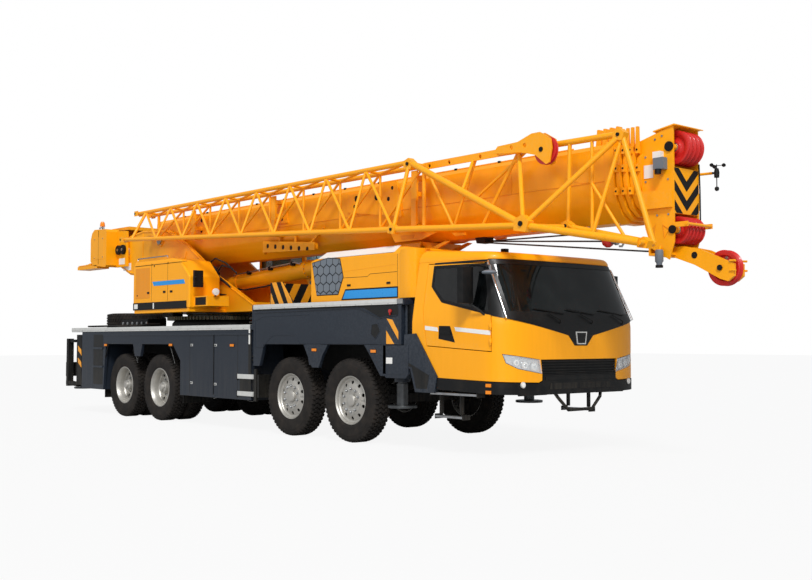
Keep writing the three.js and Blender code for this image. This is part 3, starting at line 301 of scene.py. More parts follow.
# Glass or a clear lens, with a thin film of dust
def glassy(name, code, rough=0.05, alpha=0.9, speck=0.04):
    material, tree, shader = startMaterial(name)
    film = useGroup(tree, grain, {"Size": 40.0, "Mottle": 1.0})
    part = math2(tree, "MULTIPLY", spread(tree, film.outputs["Mottle"], 0.45, 0.8), speck)
    wire(tree, shader, {"Base Color": blendColours(tree, part, linear(code), (0.6, 0.6, 0.58, 1)),
                        "Roughness": math2(tree, "ADD", part, rough), "Specular IOR Level": 0.3,
                        "Transmission Weight": 0.0})
    if alpha < 1:
        wire(tree, shader, {"Alpha": math2(tree, "ADD", part, alpha, True)})
    return material


# Wire rope: strands laid round it show as fine slanting ridges
def ropeFinish(name, code):
    material, tree, shader = startMaterial(name)
    place = put(tree, "ShaderNodeTexCoord").outputs["Object"]
    wave = put(tree, "ShaderNodeTexWave", {"Vector": place, "Scale": 42.0, "Distortion": 1.0},
               bands_direction="DIAGONAL").outputs["Fac"]
    lit = math2(tree, "MULTIPLY", wave, 0.5)
    wire(tree, shader, {"Base Color": blendColours(tree, lit, linear(code), linear("#6B6A66")), "Metallic": 0.6,
                        "Roughness": math2(tree, "ADD", math2(tree, "MULTIPLY", wave, 0.2), 0.4)})
    addBump(tree, shader, wave, 0.6, 0.002)
    return material


# Woven seat cloth: crossing threads and a soft sheen
def clothFinish(name, code):
    material, tree, shader = startMaterial(name)
    place = put(tree, "ShaderNodeTexCoord").outputs["Object"]
    across = put(tree, "ShaderNodeTexWave", {"Vector": place, "Scale": 150.0}, bands_direction="Y").outputs["Fac"]
    along = put(tree, "ShaderNodeTexWave", {"Vector": place, "Scale": 150.0}, bands_direction="Z").outputs["Fac"]
    weave = math2(tree, "MULTIPLY", across, along)
    wire(tree, shader, {"Base Color": blendColours(tree, weave, linear(code), linear("#5A5D63")), "Sheen Weight": 0.3,
                        "Roughness": math2(tree, "ADD", math2(tree, "MULTIPLY", weave, 0.1), 0.85)})
    addBump(tree, shader, weave, 0.4, 0.001)
    return material


yellow = coated("yellowPaint", "#FFA902", rough=0.42, worn="#E8B765", uneven=0.03, dust=0.05, wear=0.12, gloss=0.1)
# A darker copy of the yellow paint, used for painted shade: weld seams and the belly fold of the boom, the
# counterweight's back, a housing panel, jib hangers and marks on the head
shadedYellow = coated("yellowPaintShaded", "#F09400", rough=0.42, worn="#D8A050", uneven=0.04, dust=0.1, wear=0.2,
                    gloss=0.1)
slate = coated("slatePaint", "#1C242F", rough=0.42, worn="#6B727A", uneven=0.03, dust=0.06, wear=0.12, gloss=0.12)
blackPaint = coated("blackPaint", "#070808", rough=0.45, worn="#3B3A38", uneven=0.1, dust=0.08, wear=0.15, gloss=0.05)
frameBlack = coated("frameBlack", "#080808", rough=0.6, worn="#363432", uneven=0.12, dust=0.12, wear=0.12, gloss=0.0)
sheaveRed = coated("sheaveRed", "#CC2420", rough=0.38, worn="#8F4A43", uneven=0.05, dust=0.15, wear=0.4)
stripeBlue = coated("stripeBlue", "#1E94DE", rough=0.3, uneven=0.02, dust=0.05, wear=0.0)
stripeWhite = coated("stripeWhite", "#ECEBE6", rough=0.35, uneven=0.03, dust=0.08, wear=0.0)
warnAmber = coated("warnAmber", "#F5A21E", rough=0.3, uneven=0.02, dust=0.1, wear=0.0)
ringOlive = coated("ringGrease", "#4A4530", rough=0.45, worn="#8A8468", uneven=0.25, dust=0.5, wear=0.3)
plastic = moulded("blackPlastic", "#0B0C0D", rough=0.5, size=420.0, depth=0.15, dust=0.08)
greyPlastic = moulded("greyPlastic", "#6F7780", rough=0.5, size=420.0, depth=0.15, dust=0.15, dusty="#8C8A84")
rubber = moulded("tyreRubber", "#201D1B", rough=0.78, size=300.0, depth=0.3, dusty="#4A423B", dust=0.3)
hose = moulded("hoseRubber", "#1D1C1B", rough=0.6, size=500.0, depth=0.2, dust=0.3)
silver = metal("silverStrip", "#E2E2DE", rough=0.38, stretch=(1.5, 90.0, 90.0), tarnish=0.18, dull="#A5A29B",
               metallic=0.45)
alloy = metal("wheelAlloy", "#B8B5AE", rough=0.42, stretch=(60.0, 4.0, 60.0), tarnish=0.15, dull="#A09C94",
              metallic=0.6)
steel = metal("plainSteel", "#A9ABAD", rough=0.34, stretch=(60.0, 60.0, 60.0), tarnish=0.5, dull="#5C5852",
              metallic=0.9)
darkSteel = metal("darkSteel", "#55585A", rough=0.4, stretch=(60.0, 60.0, 60.0), tarnish=0.5, dull="#33312F",
                  metallic=0.7)
chrome = metal("chromedSteel", "#E9EAEA", rough=0.16, stretch=(4.0, 80.0, 80.0), tarnish=0.08)
# The near-black, almost opaque cab panes stand for the dim cab inside seen through the glass: painted shade
darkGlass = glassy("cabGlass", "#101414", rough=0.06, alpha=0.95, speck=0.01)
sideGlass = glassy("sideGlass", "#050708", rough=0.05, alpha=0.93, speck=0.01)
blueGlass = glassy("paleBlueGlass", "#7FA9B5", rough=0.06, alpha=0.55)
lens = glassy("clearLens", "#EEF2F4", rough=0.04, alpha=0.28, speck=0.03)
amberLens = glassy("amberLens", "#F28A1C", rough=0.2, alpha=1.0)
redLens = glassy("redLens", "#B5221E", rough=0.2, alpha=1.0)
whiteLens = glassy("whiteLens", "#F4F3EE", rough=0.15, alpha=1.0)
rope = ropeFinish("wireRope", "#1B1A19")
seatCloth = clothFinish("seatCloth", "#2A2C30")
print("finishes made")


# Mesh tools
boxFaces = [(0, 1, 3, 2), (4, 6, 7, 5), (0, 4, 5, 1), (2, 3, 7, 6), (0, 2, 6, 4), (1, 5, 7, 3)]
bothSides = ((1, "left"), (-1, "right"))


# Angles evenly round a circle
def around(count):
    return [2 * math.pi * k / count for k in range(count)]


# A piece is built from closed bodies in the crane's own coordinates, then moved by shift.
class Piece:
    def __init__(self, name, body, slot, finishes, replaces=()):
        self.name, self.body, self.slot = name, body, slot
        self.finishes = finishes if isinstance(finishes, (list, tuple)) else [finishes]
        self.replaces = replaces
        self.points, self.faces, self.tags = [], [], []

    def solid(self, points, faces, tag=0):
        start = len(self.points)
        self.points += [tuple(p) for p in points]
        self.faces += [[i + start for i in face] for face in faces]
        self.tags += [tag] * len(faces)

    def box(self, x0, x1, y0, y1, z0, z1, tag=0):
        points = [(x, y, z) for x in (x0, x1) for y in (y0, y1) for z in (z0, z1)]
        self.solid(points, boxFaces, tag)

    # The same at one side of the crane, y0 and y1 being distances from its middle
    def sided(self, side, x0, x1, y0, y1, z0, z1, tag=0):
        self.box(x0, x1, *sorted((side * y0, side * y1)), z0, z1, tag)

    def both(self, x0, x1, y0, y1, z0, z1, tag=0):
        for side in (1, -1):
            self.sided(side, x0, x1, y0, y1, z0, z1, tag)

    # A flat outline, with holes if any, given thickness from a to b along axis.
    def prism(self, outline, axis, a, b, tag=0, holes=()):
        place = {"x": lambda u, v, w: (w, u, v), "y": lambda u, v, w: (u, w, v), "z": lambda u, v, w: (u, v, w)}[axis]
        self.plate(outline, holes, lambda u, v, w: place(u, v, a + (b - a) * w), tag)

    # A plate whose outline lies in (u, v) and is carried to space by place(u, v, w), w being 0 or 1.
    # step cuts it into small triangles so that it can bend.
    def plate(self, outline, holes, place, tag=0, step=0.0):
        if not holes and not step:
            n = len(outline)
            points = [place(u, v, w) for w in (0, 1) for u, v in outline]
            faces = [list(range(n)), list(range(2 * n - 1, n - 1, -1))]
            faces += [(i, (i + 1) % n, n + (i + 1) % n, n + i) for i in range(n)]
            self.solid(points, faces, tag)
            return
        loops = [list(outline)] + [list(hole) for hole in holes]
        if step:
            loops = [splitLoop(loop, step) for loop in loops]
        flat, edges = [], []
        for loop in loops:
            start = len(flat)
            flat += [Vector(p) for p in loop]
            edges += [(start + i, start + (i + 1) % len(loop)) for i in range(len(loop))]
        if step:
            us, vs = [p[0] for p in outline], [p[1] for p in outline]
            for i in range(1, int((max(us) - min(us)) / step) + 1):
                for j in range(1, int((max(vs) - min(vs)) / step) + 1):
                    spot = (min(us) + i * step, min(vs) + j * step)
                    if inside(spot, loops[0]) and not any(inside(spot, loop) for loop in loops[1:]) \
                            and nearest(spot, loops) > step * 0.35:
                        flat.append(Vector(spot))
        made = flatGeometry.delaunay_2d_cdt(flat, edges, [], 0, 1e-6)
        points2, triangles = made[0], made[2]
        kept = []
        for triangle in triangles:
            middle = tuple(sum(points2[i][k] for i in triangle) / 3 for k in (0, 1))
            if inside(middle, loops[0]) and not any(inside(middle, loop) for loop in loops[1:]):
                kept.append(tuple(triangle))
        used = {}
        for triangle in kept:
            for a, b in zip(triangle, triangle[1:] + triangle[:1]):
                used[(a, b)] = used.get((a, b), 0) + 1
        rims = [(a, b) for a, b in used if (b, a) not in used]
        n = len(points2)
        points = [place(p[0], p[1], w) for w in (0, 1) for p in points2]
        faces = kept + [(c + n, b + n, a + n) for a, b, c in kept]
        faces += [(b, a, a + n, b + n) for a, b in rims]
        self.solid(points, faces, tag)

    # A round bar through points, the same thickness all along.
    def tube(self, points, radius, tag=0, sides=10, closed=False):
        points = [Vector(p) for p in points]
        count = len(points)
        ahead = []
        for i, p in enumerate(points):
            before = points[i - 1] if i or closed else p
            after = points[(i + 1) % count] if i < count - 1 or closed else p
            ahead.append((after - before).normalized())
        side = ahead[0].orthogonal().normalized()
        rings = []
        for p, along in zip(points, ahead):
            side = (side - along * side.dot(along)).normalized()
            other = along.cross(side)
            rings.append([p + (side * math.cos(a) + other * math.sin(a)) * radius
                          for a in around(sides)])
        faces = []
        for i in range(count if closed else count - 1):
            j = (i + 1) % count
            faces += [(i * sides + k, i * sides + (k + 1) % sides, j * sides + (k + 1) % sides, j * sides + k)
                      for k in range(sides)]
        if not closed:
            faces += [list(range(sides)), list(range((count - 1) * sides, count * sides))[::-1]]
        self.solid([p for ring in rings for p in ring], faces, tag)

    def rod(self, a, b, radius, tag=0, sides=12):
        self.tube([a, b], radius, tag, sides)

    # A turned body: profile points are (radius, distance along the axis), and the profile is closed.
    def lathe(self, profile, centre, axis="y", flip=1, tag=0, steps=40):
        centre = Vector(centre)
        frameOf = {"x": ((0, 1, 0), (0, 0, 1), (1, 0, 0)), "y": ((1, 0, 0), (0, 0, 1), (0, 1, 0)),
                   "z": ((1, 0, 0), (0, 1, 0), (0, 0, 1))}[axis]
        u, v, w = (Vector(d) for d in frameOf)
        count = len(profile)
        points = [centre + (u * math.cos(a) + v * math.sin(a)) * r + w * (flip * t)
                  for a in around(steps) for r, t in profile]
        faces = [(k * count + i, k * count + (i + 1) % count, ((k + 1) % steps) * count + (i + 1) % count,
                  ((k + 1) % steps) * count + i) for k in range(steps) for i in range(count)]
        self.solid(points, faces, tag)

    def disc(self, centre, axis, radius, thick, tag=0, flip=1, steps=24):
        self.lathe([(0.0005, 0), (radius, 0), (radius, thick), (0.0005, thick)], centre, axis, flip, tag, steps)

    def ready(self, bevel=0.0, segments=2, sharp=32, subdivide=0, weld=True):
        mesh = bpy.data.meshes.new(self.name)
        mesh.from_pydata([(x + shift, y, z) for x, y, z in self.points], [], self.faces)
        for finish in self.finishes:
            mesh.materials.append(finish)
        mesh.polygons.foreach_set("material_index", self.tags)
        work = bmesh.new()
        work.from_mesh(mesh)
        if weld:
            bmesh.ops.remove_doubles(work, verts=work.verts, dist=1e-5)
            bmesh.ops.dissolve_degenerate(work, dist=1e-6, edges=work.edges)
        bmesh.ops.recalc_face_normals(work, faces=work.faces)
        work.to_mesh(mesh)
        work.free()
        obj = addObject(self.name, mesh)
        smooth(obj, bevel, segments, sharp)
        if subdivide:
            rounder = obj.modifiers.new("rounder", "SUBSURF")
            rounder.levels = rounder.render_levels = subdivide
        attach(obj, self.body)
        if self.replaces:
            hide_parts(*self.replaces)
        return obj


def smooth(obj, bevel, segments, sharp):
    obj.data.polygons.foreach_set("use_smooth", [True] * len(obj.data.polygons))
    if bevel:
        rounding = obj.modifiers.new("rounding", "BEVEL")
        rounding.width = bevel
        rounding.segments = segments
        rounding.limit_method = "ANGLE"
        rounding.angle_limit = math.radians(sharp)
        rounding.harden_normals = True
        rounding.use_clamp_overlap = True
    else:
        obj.data.set_sharp_from_angle(angle=math.radians(sharp))


def splitLoop(loop, step):
    out = []
    for a, b in zip(loop, loop[1:] + loop[:1]):
        parts = max(1, int(math.dist(a, b) / step + 0.5))
        out += [(a[0] + (b[0] - a[0]) * i / parts, a[1] + (b[1] - a[1]) * i / parts) for i in range(parts)]
    return out


def inside(spot, loop):
    x, y = spot
    odd = False
    for (x0, y0), (x1, y1) in zip(loop, loop[1:] + loop[:1]):
        if (y0 > y) != (y1 > y) and x < (x1 - x0) * (y - y0) / (y1 - y0) + x0:
            odd = not odd
    return odd


def nearest(spot, loops):
    best = 9.0
    for loop in loops:
        for a, b in zip(loop, loop[1:] + loop[:1]):
            length = math.dist(a, b) or 1e-9
            t = max(0, min(1, ((spot[0] - a[0]) * (b[0] - a[0]) + (spot[1] - a[1]) * (b[1] - a[1])) / length ** 2))
            best = min(best, math.dist(spot, (a[0] + (b[0] - a[0]) * t, a[1] + (b[1] - a[1]) * t)))
    return best


def circle(u, v, radius, sides=16):
    return [(u + radius * math.cos(2 * math.pi * k / sides), v + radius * math.sin(2 * math.pi * k / sides))
            for k in range(sides)]


# A copy of a CAD node with its welded edges rounded over, standing for that node.
def softened(node, finishes, bevel=0.008, segments=2, sharp=28):
    source = frame["nodes"][node]
    work = bmesh.new()
    work.from_mesh(source.data)
    work.transform(source.matrix_world)
    bmesh.ops.remove_doubles(work, verts=work.verts, dist=1e-5)
    bmesh.ops.dissolve_limit(work, angle_limit=math.radians(1), verts=work.verts, edges=work.edges)
    mesh = bpy.data.meshes.new(node + "_shape")
    work.to_mesh(mesh)
    work.free()
    mesh.materials.clear()
    for finish in finishes if isinstance(finishes, (list, tuple)) else [finishes]:
        mesh.materials.append(finish)
    mesh.polygons.foreach_set("material_index", [0] * len(mesh.polygons))
    obj = addObject(node + "_shape", mesh)
    if mesh.has_custom_normals:
        bpy.context.view_layer.objects.active = obj
        bpy.ops.mesh.customdata_custom_splitnormals_clear()
    smooth(obj, bevel, segments, sharp)
    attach(obj, bodyOf[node])
    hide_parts(node)
    return obj


bodyOf = {}
for name, nodes in frame["record"]["behaviour"]["bodies"].items():
    for node in nodes:
        bodyOf[node] = name


# Wheels
wheelSize = {"radius": 0.6125, "halfWidth": 0.155, "blocks": 54, "blockDepth": 0.019,
             "nuts": 10, "nutCircle": 0.168, "holes": 10, "holeCircle": 0.258, "hole": 0.027,
             "trackFace": 1.33, "twinOffset": 0.185}


def addTyre(piece, centre, side, axis="y", tag=0):
    half, radius = wheelSize["halfWidth"], wheelSize["radius"]
    base = radius - wheelSize["blockDepth"]
    wall = [(0.345, 0.098), (0.352, 0.122), (0.372, 0.134), (0.385, 0.141), (0.4, 0.143), (0.44, 0.151), (0.49, half),
            (0.515, half - 0.001), (0.52, half - 0.004), (0.55, half - 0.007), (0.575, half - 0.014),
            (base - 0.004, half - 0.026)]
    profile = wall + [(base, half - 0.04), (base, -half + 0.04)] + [(r, -t) for r, t in reversed(wall)]
    piece.lathe(profile, centre, axis, side, tag, 72)
    centre = Vector(centre)
    count = wheelSize["blocks"]

    def at(angle, r, across):
        u, v = r * math.cos(angle), r * math.sin(angle)
        return centre + (Vector((u, side * across, v)) if axis == "y" else Vector((u, v, side * across)))
    rows = [(-0.14, -0.088, 0.5, 0.6, 0.1), (-0.079, -0.031, 0.0, 0.66, -0.22), (-0.024, 0.024, 0.5, 0.62, 0.25),
            (0.031, 0.079, 0.0, 0.66, -0.22), (0.088, 0.14, 0.5, 0.6, 0.1)]
    for low, high, offset, fill, slant in rows:
        for k in range(count):
            step = 2 * math.pi / count
            a0 = (k + offset) * step
            a1 = a0 + step * fill
            skew = slant * step
            top = 0.0045
            outer = high if abs(high) > abs(low) else low
            drop = {low: 0.012 if outer == low and abs(low) > 0.1 else 0,
                    high: 0.012 if outer == high and abs(high) > 0.1 else 0}
            points = []
            for r, pull in ((base - 0.012, 0), (radius, top)):
                for across, lean in ((low, 0), (high, skew)):
                    inner = pull if across == low else -pull
                    fall = drop[across] if pull else 0
                    points += [at(a0 + lean + pull / radius, r - fall, across + inner),
                               at(a1 + lean - pull / radius, r - fall, across + inner)]
            piece.solid(points, boxFaces, tag)


def addRimRing(piece, centre, side, inner, outer, faceIn, faceOut, tag, axis="y", depth=0.012):
    circleAt, centre = wheelSize["holeCircle"], Vector(centre)
    turnLength = 2 * math.pi * circleAt
    holes = [circle((k + 0.5) * turnLength / wheelSize["holes"], circleAt, wheelSize["hole"], 14)
             for k in range(wheelSize["holes"])]

    def place(u, r, w):
        a = u / circleAt
        out = side * (faceIn + (faceOut - faceIn) * (r - inner) / (outer - inner) - w * depth)
        x, y = r * math.cos(a), r * math.sin(a)
        return centre + (Vector((x, out, y)) if axis == "y" else Vector((x, y, out)))
    piece.plate([(0, inner), (turnLength, inner), (turnLength, outer), (0, outer)], holes, place, tag, step=0.036)


def addNuts(piece, centre, side, out, tag, axis="y"):
    for k in range(wheelSize["nuts"]):
        a = 2 * math.pi * (k + 0.5) / wheelSize["nuts"]
        u, v = wheelSize["nutCircle"] * math.cos(a), wheelSize["nutCircle"] * math.sin(a)
        spot = Vector(centre) + (Vector((u, side * out, v)) if axis == "y" else Vector((u, v, side * out)))
        piece.lathe([(0.0005, 0), (0.023, 0), (0.022, 0.005), (0.016, 0.008), (0.015, 0.026), (0.009, 0.033),
                     (0.0005, 0.034)],
                    spot, axis, side, tag, 8)


def singleWheel(axle, side):
    x = (0, -1.5)[axle - 1]
    name = f"wheel_{axle}_" + ("left" if side > 0 else "right")
    centre = (x, side * (wheelSize["trackFace"] - wheelSize["halfWidth"]), wheelSize["radius"])
    piece = Piece(name + "_round", name, "tyre", [rubber, alloy, frameBlack, steel], [name])
    addTyre(piece, centre, side)
    piece.lathe([(0.29, 0.062), (0.318, 0.07), (0.334, 0.094), (0.352, 0.112), (0.357, 0.122), (0.348, 0.128),
                 (0.337, 0.118), (0.327, 0.092), (0.322, -0.09), (0.345, -0.12), (0.352, -0.12), (0.33, -0.09),
                 (0.332, 0.05), (0.3, 0.045)], centre, "y", side, 1, 64)
    addRimRing(piece, centre, side, 0.206, 0.296, 0.098, 0.066, 1)
    piece.lathe([(0.0005, 0.098), (0.1, 0.098), (0.14, 0.105), (0.19, 0.106), (0.212, 0.1), (0.216, 0.09),
                 (0.12, 0.08), (0.0005, 0.08)], centre, "y", side, 1, 48)
    piece.lathe([(0.0005, 0.136), (0.055, 0.136), (0.078, 0.131), (0.09, 0.12), (0.094, 0.1), (0.0005, 0.09)],
                centre, "y", side, 1, 36)
    piece.lathe([(0.062, 0.02), (0.322, 0.02), (0.322, 0.0), (0.062, -0.09)], centre, "y", side, 2)
    addNuts(piece, centre, side, 0.105, 3)
    return piece.ready(sharp=28)


def twinWheel(axle, side):
    x = (-5.69, -7.11)[axle - 3]
    name = f"twin_wheel_{axle}_" + ("left" if side > 0 else "right")
    middle = side * (wheelSize["trackFace"] - 0.31 - 0.03)
    piece = Piece(name + "_round", name, "tyre", [rubber, alloy, frameBlack, steel], [name])
    for offset in (-1, 1):
        addTyre(piece, (x, middle + side * offset * wheelSize["twinOffset"], wheelSize["radius"]), side)
    centre = (x, middle, wheelSize["radius"])
    out = wheelSize["twinOffset"]
    piece.lathe([(0.31, 0.14), (0.318, 0.17), (0.324, 0.24), (0.337, out + 0.105), (0.352, out + 0.118),
                 (0.357, out + 0.126),
                 (0.346, out + 0.131), (0.33, out + 0.112), (0.312, 0.235), (0.306, 0.17), (0.294, 0.152),
                 (0.29, 0.128),
                 (0.326, 0.02), (0.33, -0.3), (0.345, -0.3), (0.34, 0.0)], centre, "y", side, 1, 64)
    addRimRing(piece, centre, side, 0.206, 0.3, 0.128, 0.142, 1)
    piece.lathe([(0.0005, 0.13), (0.212, 0.13), (0.214, 0.114), (0.0005, 0.1)], centre, "y", side, 1, 48)
    piece.lathe([(0.0005, 0.3), (0.05, 0.3), (0.062, 0.29), (0.07, 0.262), (0.096, 0.255), (0.106, 0.245),
                 (0.118, 0.14),
                 (0.13, 0.12), (0.0005, 0.12)], centre, "y", side, 1, 36)
    piece.lathe([(0.062, 0.09), (0.3, 0.09), (0.3, -0.02), (0.062, -0.2)], centre, "y", side, 2)
    addNuts(piece, centre, side, 0.13, 3)
    for k in range(8):
        a = 2 * math.pi * k / 8
        piece.lathe([(0.0005, 0), (0.011, 0), (0.01, 0.01), (0.0005, 0.012)],
                    (x + 0.085 * math.cos(a), middle + side * 0.255, wheelSize["radius"] + 0.085 * math.sin(a)), "y",
                    side, 3, 6)
    return piece.ready(sharp=28)


for side in (1, -1):
    for axle in (1, 2):
        singleWheel(axle, side)
    for axle in (3, 4):
        twinWheel(axle, side)
spareCentre = (-8.6, -0.3, 1.7373 + 0.155)
spare = Piece("spare_wheel_round", "carrier", "tyre", [rubber, alloy, frameBlack, steel], ["spare_wheel"])
addTyre(spare, spareCentre, 1, axis="z")
spare.lathe([(0.29, 0.045), (0.318, 0.06), (0.337, 0.1), (0.352, 0.12), (0.35, 0.126), (0.327, 0.092), (0.32, -0.09),
             (0.345, -0.12), (0.352, -0.12), (0.33, -0.08), (0.3, 0.03)], spareCentre, "z", 1, 1, 64)
addRimRing(spare, spareCentre, 1, 0.12, 0.296, 0.02, 0.05, 1, axis="z")
spare.ready(sharp=28)
print("wheels made")


# Driver's cab
cab = {"back": 1.44, "front": 3.216, "half": 1.376, "sill": 1.745, "corner": 2.62, "squareness": 4.2,
       "lean": 0.4, "tuck": 0.166, "wallTop": 2.53, "roofFront": 2.615, "roofBack": 2.7, "edge": 0.11}


def planTable():
    count, out = 160, []
    reach = cab["front"] - cab["corner"]
    for i in range(count + 1):
        a = math.pi / 2 * (1 - i / count)
        out.append((cab["corner"] + reach * math.sin(a) ** (2 / cab["squareness"]),
                    cab["half"] * max(0, math.cos(a)) ** (2 / cab["squareness"])))
    out.append((cab["back"], cab["half"]))
    lengths = [0.0]
    for a, b in zip(out, out[1:]):
        lengths.append(lengths[-1] + math.dist(a, b))
    return out, lengths


planSpots, planLengths = planTable()
sideEnd = planLengths[-1]


# The cab's skin: s runs round it from the middle of the nose, negative to the right; lift stands off it.
def skinAt(s, z, lift=0.0):
    a = min(abs(s), sideEnd)
    k = next((i for i in range(1, len(planLengths)) if planLengths[i] >= a), len(planLengths) - 1)
    part = (a - planLengths[k - 1]) / max(1e-9, planLengths[k] - planLengths[k - 1])
    (x0, y0), (x1, y1) = planSpots[k - 1], planSpots[k]
    x, y = x0 + (x1 - x0) * part, y0 + (y1 - y0) * part
    length = math.hypot(x1 - x0, y1 - y0) or 1
    x += (y1 - y0) / length * lift
    y += (x0 - x1) / length * lift
    rise = max(0.0, z - cab["sill"])
    along = (x - cab["back"]) / (cab["front"] - cab["back"])
    x -= cab["lean"] * rise * along
    y *= 1 - cab["tuck"] * rise / cab["half"]
    return Vector((x, y if s > 0 else -y, z))


# Where a point (x, z) of the cab's side lies along s, on the right
def sideAt(x, z):
    rise = max(0.0, z - cab["sill"])
    part = cab["lean"] * rise / (cab["front"] - cab["back"])
    base = (x - part * cab["back"]) / (1 - part)
    low, high = 0.0, sideEnd
    for _ in range(40):
        mid = (low + high) / 2
        k = next(i for i in range(1, len(planLengths)) if planLengths[i] >= mid)
        share = (mid - planLengths[k - 1]) / max(1e-9, planLengths[k] - planLengths[k - 1])
        at = planSpots[k - 1][0] + (planSpots[k][0] - planSpots[k - 1][0]) * share
        low, high = (mid, high) if at > base else (low, mid)
    return (-low, z)


def skinPlate(piece, outline, lift, thick, tag=0, holes=(), mirror=1, step=0.09):
    if mirror < 0:
        outline, holes = [(-s, z) for s, z in outline], [[(-s, z) for s, z in hole] for hole in holes]
    piece.plate(list(outline), [list(h) for h in holes], lambda s, z, w: skinAt(s, z, lift - thick * w), tag, step)


screenOutline = [(-1.262, 1.8), (1.262, 1.8), (1.385, 2.5), (-1.385, 2.5)]
blackOutline = [(-1.268, 1.752), (-0.25, 1.548), (-0.125, 1.415), (0.125, 1.415), (0.25, 1.548), (1.268, 1.752),
                (1.405, 2.515), (-1.405, 2.515)]
headlight = [(-1.333, 1.308), (-0.79, 1.236), (-0.748, 1.062), (-1.13, 1.128), (-1.29, 1.2)]
doorPoints = [(1.735, 1.414), (2.9, 1.347), (2.9, 1.745), (2.722, 2.47), (1.64, 2.498), (1.64, 1.9)]
bandPoints = [(1.755, 2.47), (1.755, 2.2), (1.985, 1.985), (2.893, 1.803), (2.72, 2.462)]
doorLine = [sideAt(x, z) for x, z in doorPoints]
bandLine = [sideAt(x, z) for x, z in bandPoints]


def grown(loop, by):
    # a loop pushed outwards by that much, corner by corner
    out = []
    area = sum(a[0] * b[1] - b[0] * a[1] for a, b in zip(loop, loop[1:] + loop[:1]))
    turn = 1 if area > 0 else -1
    for before, here, after in zip(loop[-1:] + loop[:-1], loop, loop[1:] + loop[:1]):
        a = Vector((here[1] - before[1], before[0] - here[0])).normalized() * turn
        b = Vector((after[1] - here[1], here[0] - after[0])).normalized() * turn
        m = (a + b).normalized()
        m *= by / max(0.3, m.dot(a))
        out.append((here[0] + m.x, here[1] + m.y))
    return out


def flip(loop):
    return [(-s, z) for s, z in loop][::-1]


def makeCabShell():
    shell = Piece("cab_shell", "carrier", "yellow_paint", [yellow, frameBlack], ["carrier_cab"])
    low = [(-sideEnd, 1.0), (-1.37, 0.966), (-0.8, 0.95), (-0.745, 0.975), (-0.742, 1.05), (-0.765, 1.238)]
    outline = low + flip(low) + [(sideEnd, cab["wallTop"]), (-sideEnd, cab["wallTop"])]
    seam = grown(doorLine, 0.011)
    holes = [seam, flip(seam), grown(screenOutline, 0.02), grown(headlight, 0.004), flip(grown(headlight, 0.004))]
    skinPlate(shell, outline, 0, 0.03, 0, holes)
    # roof: rounded edge, then a gently sloping top
    count, rings = 72, []
    spots = [-sideEnd + 2 * sideEnd * i / count for i in range(count + 1)]
    for a in (0, 18, 36, 54, 72, 90):
        inset, rise = cab["edge"] * (1 - math.cos(math.radians(a))), math.sin(math.radians(a))
        ring = []
        for s in spots:
            p = skinAt(s, cab["wallTop"], -inset)
            if abs(s) > sideEnd - 1e-6:
                p.x += inset
            top = cab["roofFront"] + (cab["roofBack"] - cab["roofFront"]) * max(0, min(1, (2.8 - p.x) / 1.3))
            ring.append(Vector((p.x, p.y, cab["wallTop"] + (top - cab["wallTop"]) * rise)))
        rings.append(ring)
    n = count + 1
    faces = [(k * n + i, k * n + (i + 1) % n, (k + 1) * n + (i + 1) % n, (k + 1) * n + i) for k in range(5)
             for i in range(n)]
    faces += [list(range(n))[::-1], [5 * n + i for i in range(n)]]
    shell.solid([p for ring in rings for p in ring], faces)
    back = [(-1.37, 1.0), (1.37, 1.0), (1.37, 1.745), (1.24, cab["wallTop"]), (-1.24, cab["wallTop"]), (-1.37, 1.745)]
    rear = [[(-0.68, 2.15), (0.68, 2.15), (0.66, 2.46), (-0.66, 2.46)]]
    shell.prism(back, "x", 1.44, 1.475, 0, rear)
    shell.box(1.47, 3.0, -1.31, 1.31, 1.29, 1.34, 1)
    shell.box(2.95, 3.17, -0.74, 0.74, 1.29, 1.34, 1)
    for side in (1, -1):
        for foot in (1.45, 1.64):
            shell.rod((2.904, side * 1.372, foot - 0.03), (2.904, side * 1.372, foot + 0.09), 0.011)
    return shell.ready(bevel=0.004, segments=1, sharp=40)


def makeCabInside():
    inner = Piece("dashboard", "carrier", "black_parts", [plastic, greyPlastic, steel])
    inner.prism([(2.56, 1.34), (2.98, 1.34), (3.06, 1.74), (2.8, 1.8), (2.6, 1.72)], "y", -1.16, 1.16)
    inner.prism([(2.57, 1.72), (2.8, 1.83), (2.92, 1.83), (2.92, 1.74)], "y", 0.36, 0.9)
    inner.rod((2.545, 0.62, 1.712), (2.8, 0.62, 1.5), 0.035)
    hub = Vector((2.545, 0.62, 1.712))
    tilt = Matrix.Rotation(math.radians(-52), 3, "Y")
    ring = [hub + tilt @ Vector((0.2 * math.cos(a), 0.2 * math.sin(a), 0)) for a in around(32)]
    inner.tube(ring, 0.015, 0, 8, closed=True)
    for k in (0, 11, 21):
        inner.rod(hub, ring[k], 0.011, 0, 8)
    inner.box(2.1, 2.45, -0.16, 0.16, 1.34, 1.62, 1)
    return inner.ready(bevel=0.012, segments=2, sharp=40)


